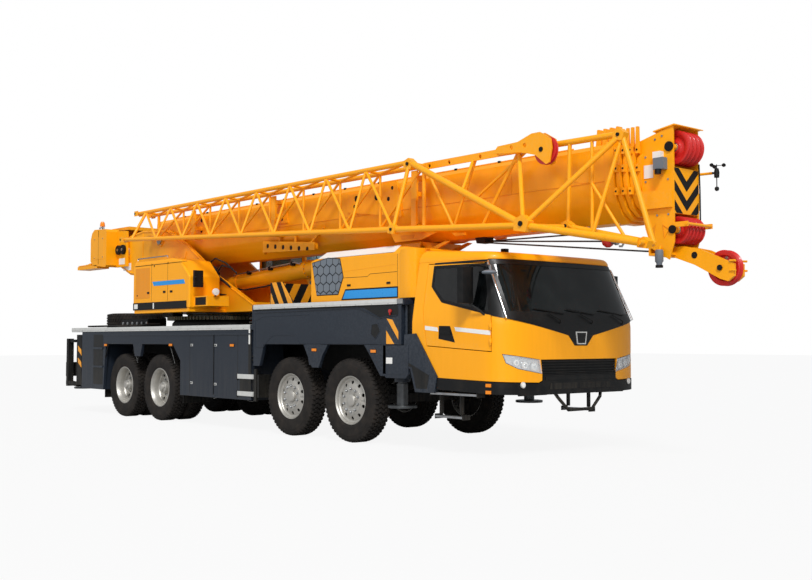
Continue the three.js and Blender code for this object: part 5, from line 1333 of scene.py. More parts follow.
def makeDeckGear():
    # pipes, valve boxes and the toothed ring between the rear deck and the slewing deck
    gear = Piece("deck_gear", "carrier", "slate_paint", [slate, frameBlack, ringOlive, steel, hose])
    rim = []
    for k in range(96):
        a = 2 * math.pi * k / 96
        for r, lean in ((1.08, -0.018), (1.115, -0.009), (1.115, 0.009), (1.08, 0.018)):
            rim.append((-5.5 + r * math.cos(a + lean), r * math.sin(a + lean)))
    gear.prism(rim, "z", 1.86, 1.925, 2, [circle(-5.5, 0, 0.78, 60)])
    gear.lathe([(0.8, 1.74), (1.02, 1.74), (1.02, 1.8), (0.97, 1.86), (0.8, 1.86)], (-5.5, 0, 0), "z", 1, 1, 72)
    for side in (1, -1):
        gear.sided(side, -7.85, -6.72, 0.62, 1.02, 1.738, 1.9, 1)
        for k in range(3):
            gear.tube([(-9.1, side * (1.06 + 0.045 * k), 1.775), (-6.7, side * (1.06 + 0.045 * k), 1.775),
                       (-6.5, side * (1.02 + 0.045 * k), 1.8), (-6.3, side * 0.98, 1.8)], 0.018, 4, 8)
        for k in range(6):
            gear.disc((-7.75 + 0.2 * k, side * 1.02, 1.82), "y", 0.03, 0.02, 3, side, 12)
    gear.ready(bevel=0.002, segments=1, sharp=40)


makeDeckGear()
makeDeckTrim()
makeSideDetail()
makeHoodDetail()
makeHazardPanel()
makeTail()
print("carrier body made")


# Superstructure
superSize = {"plateOut": 0.534, "frameBar": 0.05, "ropeRadius": 0.011}

softened("side_housing", yellow, 0.03, 3)


def makeTurntable():
    softened("turntable", [yellow], 0.006)
    more = Piece("turntable_detail", "superstructure", "yellow_paint",
                 [yellow, frameBlack, ringOlive, steel, stripeWhite, plastic, hose])
    out = superSize["plateOut"]
    for side in (1, -1):
        # boom turret arm: a raised flange along the outline, and round pin caps
        edge = [(-8.95, 3.1), (-8.42, 2.9), (-7.58, 2.8), (-6.52, 2.06)]
        more.tube([(x, side * (out + 0.002), z) for x, z in edge], 0.016, 0, 8)
        edge = [(-8.95, 3.54), (-8.42, 3.66), (-7.88, 3.72), (-6.88, 3.66), (-6.02, 3.28), (-5.34, 2.88),
                (-4.98, 2.66), (-3.74, 2.11)]
        more.tube([(x, side * (out + 0.002), z) for x, z in edge], 0.014, 0, 8)
        for x, z, radius in ((-7.15, 3.5, 0.135), (-5.3, 2.55, 0.115)):
            more.disc((x, side * out, z), "y", radius, 0.02, 0, side, 36)
            more.disc((x, side * (out + 0.02), z), "y", radius * 0.62, 0.025, 3, side, 30)
            for k in range(6):
                a = math.pi * k / 3
                more.disc((x + radius * 0.8 * math.cos(a), side * (out + 0.02), z + radius * 0.8 * math.sin(a)), "y",
                          0.011, 0.01, 3, side, 6)
        # winch end discs seen through the side plate
        for x, z in ((-8.94, 3.37), (-8.64, 3.35)):
            more.lathe([(0.0005, 0), (0.148, 0), (0.148, 0.018), (0.13, 0.03), (0.09, 0.03), (0.085, 0.05),
                        (0.0005, 0.05)], (x, side * out, z), "y", side, 3 if x > -8.8 else 0, 36)
            for k in range(8):
                a = math.pi * k / 4
                more.disc((x + 0.115 * math.cos(a), side * (out + 0.03), z + 0.115 * math.sin(a)), "y", 0.01, 0.01, 1,
                          side, 6)
        sideBox(more, side, -8.76, -8.42, out + 0.006, 0.01, 2.96, 3.11, 4)
        # ribs on the plate
        for a, b in (((-7.9, 2.85), (-7.9, 3.7)), ((-6.5, 2.35), (-6.1, 3.2))):
            more.tube([(a[0], side * (out + 0.001), a[1]), (b[0], side * (out + 0.001), b[1])], 0.012, 0, 8)
        sidePrism(more, side, circle(-6.25, 2.72, 0.16, 28), out + 0.004, 0.02, 0, [circle(-6.25, 2.72, 0.135, 28)])
        more.disc((-6.25, side * (out - 0.001), 2.72), "y", 0.135, 0.003, 1, side, 28)
    # slewing ring: two greased rings with bolt heads
    for low, high, radius in ((1.915, 1.962, 0.735), (1.966, 2.02, 0.755)):
        more.lathe([(0.66, low), (radius - 0.006, low), (radius, low + 0.006), (radius, high - 0.006),
                    (radius - 0.006, high), (0.66, high)], (-5.5, 0, 0), "z", 1, 2, 72)
    for k in range(40):
        a = 2 * math.pi * k / 40
        more.lathe([(0.0005, 0), (0.017, 0), (0.017, 0.014), (0.0005, 0.014)],
                   (-5.5 + 0.72 * math.cos(a), 0.72 * math.sin(a), 2.02), "z", 1, 3, 6)
    more.box(-6.24, -5.86, -0.96, -0.74, 1.925, 2.085, 1)
    # hose bunch from the turret to the boom foot
    for k in range(5):
        y = -0.46 + 0.03 * k
        more.tube([(-5.05, y, 2.5), (-5.35, y, 2.86), (-5.85, y, 3.02), (-6.45, y, 2.9 + 0.02 * k), (-6.75, y, 2.7)],
                  0.017, 6, 8)
    for k in range(4):
        z = 2.16 + 0.05 * k
        more.tube([(-4.4, -0.5, z), (-4.9, -0.545, z + 0.02), (-5.6, -0.552, z + 0.03), (-6.3, -0.545, z)], 0.014, 6, 8)
    # dark hoses, valve block and gland between the right side plate and the housing
    for k in range(7):
        y, z = -0.6 - 0.008 * (k % 3), 2.62 + 0.05 * k
        more.tube([(-5.75, y + 0.06, z - 0.25), (-5.45, y, z), (-5.05, y + 0.02, z + 0.02 - 0.05 * k * 0.6),
                   (-4.72, y + 0.05, 2.58), (-4.45, y + 0.09, 2.42)], 0.019, 6, 8)
    more.box(-5.6, -5.15, -0.64, -0.545, 2.72, 2.96, 1)
    more.box(-5.08, -4.86, -0.62, -0.545, 2.6, 2.74, 1)
    more.tube([(-5.02, -0.56, 2.66), (-4.7, -0.6, 2.86), (-4.45, -0.56, 2.8), (-4.35, -0.5, 2.7)], 0.015, 6, 8)
    more.tube([(-5.4, -0.56, 2.85), (-4.9, -0.62, 3.0), (-4.6, -0.58, 2.9), (-4.45, -0.5, 2.76)], 0.015, 6, 8)
    more.ready(bevel=0.003, segments=1, sharp=40)


def makeHousing():
    more = Piece("housing_detail", "superstructure", "yellow_paint",
                 [yellow, frameBlack, stripeBlue, stripeWhite, plastic, greyPlastic, steel, shadedYellow])
    out = 1.3
    side = -1
    # skirt, blue strip, door seams, latches and louvres
    sidePrism(more, side, [(-6.79, 2.06), (-4.74, 2.06), (-4.74, 2.2), (-6.79, 2.2)], out + 0.004, 0.02, 1)
    sideBox(more, side, -5.99, -5.95, out + 0.008, 0.01, 2.075, 2.185, 3)
    sidePrism(more, side, [(-6.03, 2.585), (-5.965, 2.505), (-4.8, 2.505), (-4.84, 2.585)], out + 0.004, 0.01, 2)
    for x in (-6.06, -5.44):
        sideBox(more, side, x - 0.005, x + 0.005, out + 0.001, 0.01, 2.21, 2.93, 1)
    sideBox(more, side, -6.74, -4.74, out + 0.001, 0.01, 2.903, 2.911, 1)
    for x in (-5.56, -5.3, -6.18):
        sideBox(more, side, x - 0.045, x + 0.045, out + 0.007, 0.02, 2.36, 2.4, 4)
    # panel in the shaded yellow: painted shade
    sidePrism(more, side, [(-6.7, 2.28), (-6.12, 2.28), (-6.12, 2.86), (-6.7, 2.86)], out + 0.003, 0.01, 7)
    for x, z in ((-6.62, 2.34), (-5.95, 2.88)):
        more.disc((x, -(out + 0.002), z), "y", 0.016, 0.006, 1, -1, 12)
    sideBox(more, side, -6.74, -6.6, out + 0.008, 0.01, 2.085, 2.175, 3)
    more.tube([(-6.66, -1.27, 3.02), (-6.66, -1.27, 3.05), (-5.5, -1.27, 3.05), (-5.5, -1.27, 3.02)], 0.012, 6, 8)
    # exhaust and roof plates
    for k in range(3):
        more.disc((-6.5 + 0.35 * k, -0.98, 3.0), "z", 0.085, 0.02, 4)
    # rear view mirror and lamp at the front corner, box underneath
    more.tube([(-4.68, -1.2, 2.55), (-4.55, -1.27, 2.62), (-4.42, -1.29, 2.6)], 0.012, 4, 8)
    more.prism([(-1.3, 2.43), (-1.12, 2.43), (-1.12, 2.73), (-1.3, 2.73)], "x", -4.52, -4.47, 4)
    more.prism([(-1.285, 2.445), (-1.135, 2.445), (-1.135, 2.715), (-1.285, 2.715)], "x", -4.474, -4.466, 1)
    more.box(-4.66, -4.2, -1.2, -0.75, 2.09, 2.27)
    more.box(-4.6, -4.24, -1.205, -1.15, 2.11, 2.25, 1)
    more.lathe([(0.0005, 0), (0.05, 0), (0.062, 0.03), (0.062, 0.06), (0.0005, 0.066)], (-4.2, -1.05, 2.34), "x", 1,
               3, 24)
    more.rod((-4.17, -1.05, 2.26), (-4.17, -1.05, 2.3), 0.014, 4)
    # hydraulic valves and tank between the housing and the boom
    for k in range(6):
        more.box(-6.55 + 0.12 * k, -6.48 + 0.12 * k, -0.63, -0.56, 2.18, 2.34, 6)
        more.tube([(-6.515 + 0.12 * k, -0.6, 2.34), (-6.5 + 0.12 * k, -0.6, 2.52), (-6.1 + 0.08 * k, -0.6, 2.6),
                   (-5.6, -0.6, 2.44)], 0.012, 1, 8)
    more.ready(bevel=0.003, segments=1, sharp=40)


def makeCounterweight():
    more = Piece("counterweight_detail", "superstructure", "yellow_paint",
                 [yellow, frameBlack, steel, redLens, amberLens, plastic, shadedYellow, stripeWhite])
    body = Piece("counterweight_shape", "superstructure", "yellow_paint", [yellow, frameBlack, steel, stripeWhite],
                 replaces=("counterweight",))
    weight = [(-9.7, 3.2), (-9.7, 3.66), (-9.64, 3.8), (-9.52, 3.875), (-8.97, 3.85), (-8.94, 3.8), (-8.94, 3.08),
              (-8.98, 3.04), (-9.6, 3.1)]
    for side in (1, -1):
        body.prism(weight, "y", side * 0.85, side * 0.56)
        body.prism([(-8.96, 3.04), (-8.96, 3.82), (-8.5, 3.79), (-8.48, 3.04)], "y", side * 0.61, side * 0.56)
        body.prism([(-10.35, 3.036), (-9.4, 3.036), (-9.4, 3.106), (-10.35, 3.106)], "y", side * 0.85, side * 0.56)
        # gland discs of the winch pipes, dark with a pale middle
        for x in (-8.8, -8.6):
            body.lathe([(0.0005, 0), (0.098, 0), (0.104, 0.015), (0.1, 0.055), (0.07, 0.065), (0.045, 0.05),
                        (0.0005, 0.05)], (x, side * 0.61, 3.4), "y", side, 1, 32)
            body.disc((x, side * 0.655, 3.4), "y", 0.03, 0.015, 2, side, 16)
        body.prism([(-8.82, 3.09), (-8.56, 3.09), (-8.56, 3.22), (-8.82, 3.22)], "y", side * 0.614, side * 0.6, 3)
    body.prism([(-9.7, 3.2), (-9.7, 3.66), (-9.64, 3.8), (-9.52, 3.875), (-9.25, 3.865), (-9.25, 3.12), (-9.6, 3.1)],
               "y", 0.56, -0.56)
    body.ready(bevel=0.018, segments=3, sharp=30)
    for side in (1, -1):
        sideBox(more, side, -9.55, -9.05, 0.854, 0.01, 3.22, 3.7, 0)
        for x, z in ((-9.5, 3.26), (-9.5, 3.66), (-9.1, 3.26), (-9.1, 3.66)):
            more.disc((x, side * 0.855, z), "y", 0.012, 0.008, 2, side, 6)
        sideBox(more, side, -9.32, -9.31, 0.8545, 0.01, 3.12, 3.84, 1)
        more.tube([(-9.58, side * 0.7, 3.88), (-9.58, side * 0.7, 3.93), (-9.38, side * 0.7, 3.93),
                   (-9.38, side * 0.7, 3.88)], 0.014, 2, 8)
        sidePrism(more, side, [(-10.33, 3.112), (-9.72, 3.112), (-9.72, 3.16), (-9.9, 3.135), (-10.33, 3.13)], 0.84,
                  0.26, 0)
        more.disc((-10.15, side * 0.7, 3.13), "z", 0.075, 0.01, 2, 1, 28)
        more.disc((-10.15, side * 0.7, 3.135), "z", 0.045, 0.02, 1, 1, 20)
    more.prism([(-9.6, 3.86), (-8.6, 3.83), (-8.6, 3.9), (-9.4, 3.905)], "y", -0.5, 0.5)
    # rear plate in the shaded yellow: painted shade on the back face
    more.box(-9.712, -9.7, -0.62, 0.62, 3.2, 3.74, 6)
    for side in (1, -1):
        more.sided(side, -9.722, -9.7, 0.7, 0.8, 3.3, 3.44, 3)
    # rotating beacon and stay on the tail
    more.rod((-9.62, -0.62, 3.88), (-9.62, -0.62, 3.98), 0.014, 1, 8)
    more.lathe([(0.0005, 3.97), (0.055, 3.97), (0.055, 3.99), (0.045, 4.05), (0.03, 4.075), (0.0005, 4.08)],
               (-9.62, -0.62, 0), "z", 1, 4, 24)
    more.ready(bevel=0.003, segments=1, sharp=40)


def makeLiftCylinder():
    softened("lift_barrel", [yellow], 0.008)
    softened("lift_rod", [chrome], 0.003)
    along = (Vector((-1.9, 0, 2.775)) - Vector((-5.3, 0, 2.55))).normalized()
    up = Vector((-along.z, 0, along.x))
    base = Vector((-5.3, 0, 2.55))

    def at(t, y, lift):
        return base + along * t + up * lift + Vector((0, y, 0))
    more = Piece("lift_barrel_detail", "lift_barrel", "yellow_paint", [yellow, steel, hose, frameBlack])
    for t, thick in ((2.44, 0.1), (0.3, 0.05)):
        ring = [at(t, 0, 0) + (up * math.cos(a) + Vector((0, 1, 0)) * math.sin(a)) * 0.166 for a in around(36)]
        ring2 = [p + along * thick for p in ring]
        more.solid([tuple(p) for p in ring + ring2],
                   [list(range(36)), list(range(36, 72))[::-1]] + [(i, (i + 1) % 36, 36 + (i + 1) % 36, 36 + i)
                           for i in range(36)])
    for k in range(12):
        a = 2 * math.pi * k / 12
        spot = at(2.54, 0, 0) + (up * math.cos(a) + Vector((0, 1, 0)) * math.sin(a)) * 0.155
        more.rod(spot - along * 0.01, spot + along * 0.012, 0.009, 1, 6)
    more.tube([at(0.25, -0.12, 0.12), at(0.34, -0.16, 0.14), at(2.3, -0.16, 0.14), at(2.42, -0.13, 0.1)], 0.012, 1)
    for t in (0.8, 1.5, 2.2):
        more.solid([tuple(at(t + dt, y, lift)) for dt in (0, 0.04) for y in (-0.185, -0.1) for lift in (0.09, 0.16)],
                   boxFaces, 3)
    more.tube([at(0.22, -0.1, -0.1), at(0.6, -0.13, -0.17), at(1.3, -0.12, -0.175), at(1.7, -0.1, -0.155)], 0.016, 2)
    more.ready(bevel=0.002, segments=1)


def makeWinches():
    for node, x, z, body in (("winch_main", -8.2, 3.4, "main_winch"),
                             ("winch_auxiliary", -8.73, 3.34, "auxiliary_winch")):
        low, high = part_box(node)
        radius = (high.z - low.z) / 2
        softened(node, steel, 0.004)
        drum = Piece(node + "_rope", body, "steel", [rope])
        wrap = radius - 0.035
        turns = 22
        y0, y1 = low.y + 0.05, high.y - 0.05
        for k in range(turns):
            y = y0 + (y1 - y0) * (k + 0.5) / turns
            half = (y1 - y0) / turns * 0.52
            drum.lathe([(wrap - half * 1.4, -half), (wrap - half * 0.5, -half * 0.9), (wrap, -half * 0.4),
                        (wrap, half * 0.4), (wrap - half * 0.5, half * 0.9), (wrap - half * 1.4, half)],
                       (x, y, z))
        drum.ready(weld=False)


def makeOperatorCab():
    x0, x1, y0, y1, z0, z1 = -5.35, -3.75, 0.65, 1.324, 2.06, 3.56
    bar = superSize["frameBar"]
    shell = Piece("operator_cab_shell", "superstructure", "yellow_paint", [yellow, frameBlack, plastic, rubber],
                  replaces=("operator_cab",))
    # side outline of the cab: a raked front, a rounded roof
    side = [(x0, z0), (x1 - 0.1, z0), (x1, z0 + 0.12), (x1, z0 + 0.5), (x1 - 0.2, z1 - 0.06), (x1 - 0.28, z1),
            (x0 + 0.06, z1), (x0, z1 - 0.06)]
    inner = Piece("operator_cab_glass", "superstructure", "glass", [blueGlass])
    window = [(x0 + 0.09, z0 + 0.62), (x1 - 0.13, z0 + 0.62), (x1 - 0.25, z1 - 0.12), (x0 + 0.09, z1 - 0.12)]
    lower = [(x0 + 0.72, z0 + 0.1), (x1 - 0.12, z0 + 0.1), (x1 - 0.07, z0 + 0.16), (x1 - 0.08, z0 + 0.55),
             (x0 + 0.72, z0 + 0.55)]
    for y, other in ((y0, y0 + bar), (y1 - bar, y1)):
        shell.prism(side, "y", y, other, 0, [window] if y == y0 else [window, lower])
        inner.prism(grown(window, 0.012), "y", y + 0.02, y + 0.028)
        if y != y0:
            inner.prism(grown(lower, 0.012), "y", y + 0.02, y + 0.028)
    shell.box(x0, x1 - 0.1, y0 + bar, y1 - bar, z0, z0 + 0.05)
    shell.box(x0 + 0.06, x1 - 0.28, y0 + bar, y1 - bar, z1 - 0.05, z1)
    shell.box(x0 + 0.04, x1 - 0.3, y0 + 0.02, y1 - 0.02, z1, z1 + 0.018)
    # back wall with a window, front wall with upper and lower panes
    shell.prism([(y0 + bar, z0 + 0.05), (y1 - bar, z0 + 0.05), (y1 - bar, z1 - 0.05), (y0 + bar, z1 - 0.05)], "x", x0,
                x0 + bar, 0,
                [[(y0 + 0.12, z0 + 0.7), (y1 - 0.12, z0 + 0.7), (y1 - 0.12, z1 - 0.15), (y0 + 0.12, z1 - 0.15)]])
    inner.box(x0 + 0.02, x0 + 0.028, y0 + 0.1, y1 - 0.1, z0 + 0.68, z1 - 0.13)
    shell.box(x1 - 0.05, x1, y0 + bar, y1 - bar, z0 + 0.12, z0 + 0.26)
    shell.box(x1 - 0.05, x1, y0 + bar, y1 - bar, z0 + 0.52, z0 + 0.6)
    shell.box(x1 - 0.3, x1 - 0.22, y0 + bar, y1 - bar, z1 - 0.12, z1 - 0.03)
    inner.box(x1 - 0.03, x1 - 0.022, y0 + 0.04, y1 - 0.04, z0 + 0.25, z0 + 0.53)
    inner.prism([(x1 - 0.02, z0 + 0.59), (x1 - 0.012, z0 + 0.59), (x1 - 0.232, z1 - 0.08), (x1 - 0.24, z1 - 0.08)],
                "y", y0 + 0.04, y1 - 0.04)
    # seals round the panes and a wiper
    shell.prism(grown(window, 0.004), "y", y0 - 0.001, y0 + 0.012, 3, [grown(window, -0.014)])
    shell.tube([(x1 + 0.004, 0.98, z0 + 0.6), (x1 - 0.07, 0.9, z0 + 1.0)], 0.008, 2, 6)
    # console and levers inside
    shell.box(x1 - 0.4, x1 - 0.15, y0 + 0.12, y1 - 0.12, z0 + 0.05, z0 + 0.72, 2)
    shell.box(x1 - 0.42, x1 - 0.13, y0 + 0.1, y1 - 0.1, z0 + 0.72, z0 + 0.78, 2)
    for y in (y0 + 0.12, y1 - 0.16):
        shell.box(x0 + 0.42, x0 + 0.8, y, y + 0.06, z0 + 0.62, z0 + 0.68, 2)
        shell.rod((x0 + 0.76, y + 0.03, z0 + 0.68), (x0 + 0.8, y + 0.03, z0 + 0.86), 0.01, 2, 8)
        shell.disc((x0 + 0.8, y + 0.03, z0 + 0.86), "z", 0.022, 0.03, 2, 1, 12)
    shell.box(x0 + 0.42, x0 + 0.8, y0 + 0.22, y1 - 0.22, z0 + 0.05, z0 + 0.32, 2)
    shell.ready(bevel=0.006, segments=2, sharp=35)
    inner.ready()
    middle = (y0 + y1) / 2
    cushion("operator_seat_base", (x0 + 0.36, middle - 0.21, z0 + 0.32), (x0 + 0.84, middle + 0.21, z0 + 0.46),
            body="superstructure")
    cushion("operator_seat_back", (x0 + 0.22, middle - 0.2, z0 + 0.44), (x0 + 0.36, middle + 0.2, z0 + 1.08),
            tilt=-0.08, body="superstructure")


def makeOperatorDoor():
    softened("operator_door", [yellow], 0.006)


makeOperatorCab()
makeOperatorDoor()
makeTurntable()
makeHousing()
makeCounterweight()
makeLiftCylinder()
makeWinches()
print("superstructure made")


# Boom, boom head and lattice jib
boomSize = {"half": 0.44, "chord": 0.037, "lace": 0.021, "jibBack": -7.42, "jibFront": 0.85, "bay": 0.99}


def grooved(piece, x, z, y, radius, thick, tag, hubTag, steps=56):
    # a rope sheave: rounded lips, rope groove, dished web with a thick hub
    half = thick / 2
    profile = [(0.035, -half), (0.075, -half), (0.08, -half * 0.7), (radius * 0.52, -half * 0.35),
               (radius - 0.075, -half * 0.35), (radius - 0.06, -half * 0.8),
               (radius - 0.012, -half), (radius, -half * 0.86), (radius - 0.006, -half * 0.7),
               (radius - 0.045, -half * 0.16), (radius - 0.045, half * 0.16),
               (radius - 0.006, half * 0.7), (radius, half * 0.86), (radius - 0.012, half),
               (radius - 0.06, half * 0.8), (radius - 0.075, half * 0.35),
               (radius * 0.52, half * 0.35), (0.08, half * 0.7), (0.075, half), (0.035, half)]
    piece.lathe(profile, (x, y, z), "y", 1, tag, steps)
    for side in (-1, 1):
        piece.lathe([(0.036, half * 0.9), (0.055, half * 0.9), (0.055, half + 0.004), (0.036, half + 0.004)],
                    (x, y, z), "y", side, hubTag, 20)


def makeSheaves():
    head = Piece("head_sheaves_shape", "head_sheaves", "red_paint", [sheaveRed, steel], replaces=("head_sheaves",))
    for y in (-0.126, -0.042, 0.042, 0.126):
        grooved(head, 4.8, 3.79, y, 0.208, 0.074, 0, 1)
    head.ready(bevel=0.002, segments=1, sharp=40)
    low = Piece("lower_sheaves_shape", "lower_sheaves", "red_paint", [sheaveRed, steel], replaces=("lower_sheaves",))
    for y in (-0.144, -0.072, 0.0, 0.072, 0.144):
        grooved(low, 4.835, 2.795, y, 0.165, 0.064, 0, 1, 48)
    low.ready(bevel=0.002, segments=1, sharp=40)
    nose = Piece("nose_sheave_shape", "nose_sheave", "red_paint", [sheaveRed, steel], replaces=("nose_sheave",))
    grooved(nose, 5.37, 2.32, 0.0, 0.2105, 0.095, 0, 1, 64)
    for k in range(6):
        a = math.pi * k / 3 + 0.3
        for side in (-1, 1):
            nose.disc((5.37 + 0.115 * math.cos(a), side * 0.018, 2.32 + 0.115 * math.sin(a)), "y", 0.022, 0.004, 1,
                      side, 16)
    nose.ready(bevel=0.002, segments=1, sharp=40)


def makeBoomBase():
    softened("boom_base", [yellow], 0.012, 3)
    more = Piece("boom_base_detail", "boom_base", "yellow_paint",
                 [yellow, frameBlack, steel, shadedYellow, plastic, stripeWhite, rope])
    half = boomSize["half"]
    for side in (1, -1):
        # weld seams of the side plates, and the line where the folded belly begins, drawn in the shaded yellow as
        # painted shade
        more.tube([(-6.9, side * (half + 0.0005), 3.445), (3.98, side * (half + 0.0005), 3.445)], 0.006, 3, 8)
        for x in (-4.2, -0.9, 2.4):
            more.tube([(x, side * (half + 0.0005), 3.45), (x, side * (half + 0.0005), 3.85)], 0.005, 3, 8)
        # reinforcing plates at the foot
        sidePrism(more, side, [(-7.3, 3.55), (-6.55, 3.5), (-5.9, 3.62), (-5.9, 3.78), (-7.3, 3.82)], half + 0.01,
                  0.02, 0)
        # carrying plates of the jib, with their pin holes
        sidePrism(more, side, [(-1.15, 3.52), (0.16, 3.34), (0.16, 3.52), (0.05, 3.9), (-0.25, 3.9), (-0.6, 3.8),
                               (-1.15, 3.8)], half + 0.02, 0.03, 0,
                  [circle(x, z, r, 18) for x, z, r in ((-0.92, 3.72, 0.05), (-0.42, 3.7, 0.055), (-0.14, 3.64, 0.035),
                          (-0.97, 3.6, 0.03), (0.06, 3.44, 0.035), (-0.05, 3.8, 0.03))])
        for x, z, r in ((-0.92, 3.72, 0.05), (-0.42, 3.7, 0.055), (-0.14, 3.64, 0.035), (-0.97, 3.6, 0.03),
                        (0.06, 3.44, 0.035), (-0.05, 3.8, 0.03)):
            more.disc((x, side * (half + 0.012), z), "y", r, 0.004, 1, side, 18)
        for x in (-5.7, -3.0):
            sidePrism(more, side, [(x - 0.16, 3.5), (x + 0.2, 3.5), (x + 0.12, 3.86), (x - 0.1, 3.86)], half + 0.016,
                      0.02, 0)
            for dz in (3.58, 3.78):
                more.disc((x + 0.02, side * (half + 0.016), dz), "y", 0.035, 0.003, 1, side, 16)
        # holed bar under the belly edge
        holes = [circle(-3.4 + 0.235 * k, 3.135 - 0.028 * k * 0.9, 0.042, 14) for k in range(6)]
        sidePrism(more, side, [(-3.55, 3.23), (-2.02, 3.11), (-2.02, 2.98), (-3.55, 3.03)], 0.47, 0.02, 0, holes)
        sidePrism(more, side, [(-3.55, 3.23), (-2.02, 3.11), (-2.02, 2.98), (-3.55, 3.03)], 0.461, 0.006, 1)
        for x, top in ((-3.54, 3.22), (-2.04, 3.1)):
            more.sided(side, x - 0.01, x + 0.01, 0.385, 0.468, 3.0, top)
        for a, b in (((-3.1, 3.16), (-3.02, 3.32)), ((-2.2, 3.08), (-1.8, 3.34)), ((-2.6, 3.12), (-2.62, 3.34))):
            more.rod((a[0], side * 0.44, a[1]), (b[0], side * 0.428, b[1]), 0.022, 0, 8)
        # saddle plates over the boom rest
        sidePrism(more, side, [(-0.11, 3.12), (0.56, 3.1), (0.94, 3.05), (0.6, 2.965), (0.0, 2.965)], 0.445, 0.03, 0)
        # small plate in the shaded yellow: painted shade
        sidePrism(more, side, [(0.12, 3.06), (0.46, 3.05), (0.42, 2.99), (0.16, 2.99)], 0.447, 0.01, 3)
        sidePrism(more, side, [(1.22, 3.02), (1.5, 3.0), (1.5, 2.965), (1.3, 2.965)], 0.43, 0.03, 0)
        # pipe run along the top edge
        more.tube([(-6.8, side * 0.34, 3.932), (3.4, side * 0.34, 3.932)], 0.013, 0, 8)
        for k in range(12):
            x = -6.5 + 0.86 * k
            more.sided(side, x - 0.02, x + 0.02, 0.31, 0.37, 3.915, 3.948, 1)
        # folded doubler at the boom's mouth
        sidePrism(more, side, [(3.48, 3.5), (3.62, 3.46), (3.74, 3.46), (3.74, 3.84), (3.48, 3.84)], half + 0.006,
                  0.02, 0)
    # rope guides over the top
    for x in (-5.2, -1.6, 2.0):
        more.rod((x, -0.16, 3.955), (x, 0.16, 3.955), 0.02, 2)
        more.both(x - 0.03, x + 0.03, 0.16, 0.175, 3.91, 3.975)
    # ropes from the two drums along the boom to the mouth
    for y in (-0.06, 0.06):
        more.tube([(-7.25, y * 1.5, 3.945), (-5.2, y, 3.978), (-1.6, y, 3.978), (2.0, y, 3.978), (3.72, y, 3.97)],
                  superSize["ropeRadius"], 6, 8)
    more.ready(bevel=0.002, segments=1, sharp=40)


def makeBoomSections():
    for node in ("boom_section_2", "boom_section_3", "boom_section_4"):
        softened(node, [yellow], 0.004)
    for index, body in enumerate(("boom_section_2", "boom_section_3", "boom_section_4", "boom_tip")):
        start = 4.13 + index * 0.066 + (index + 1) * 0.006
        half = 0.44 - 0.045 * index + 0.012
        lugs = Piece(body + "_lugs", body, "yellow_paint", [yellow, frameBlack])
        for side in (1, -1):
            for z in (3.3, 3.58, 3.8):
                lugs.sided(side, start + 0.008, start + 0.052, (half - 0.03), (half + 0.018), z - 0.045, z + 0.045)
                lugs.disc((start + 0.03, side * (half + 0.018), z), "y", 0.014, 0.004, 1, side, 6)
        lugs.prism([(start + 0.004, 3.84), (start + 0.052, 3.84), (start + 0.046, 4.085), (start + 0.014, 4.085)],
                   "y", -0.33, -0.295)
        lugs.ready(bevel=0.003, segments=1)


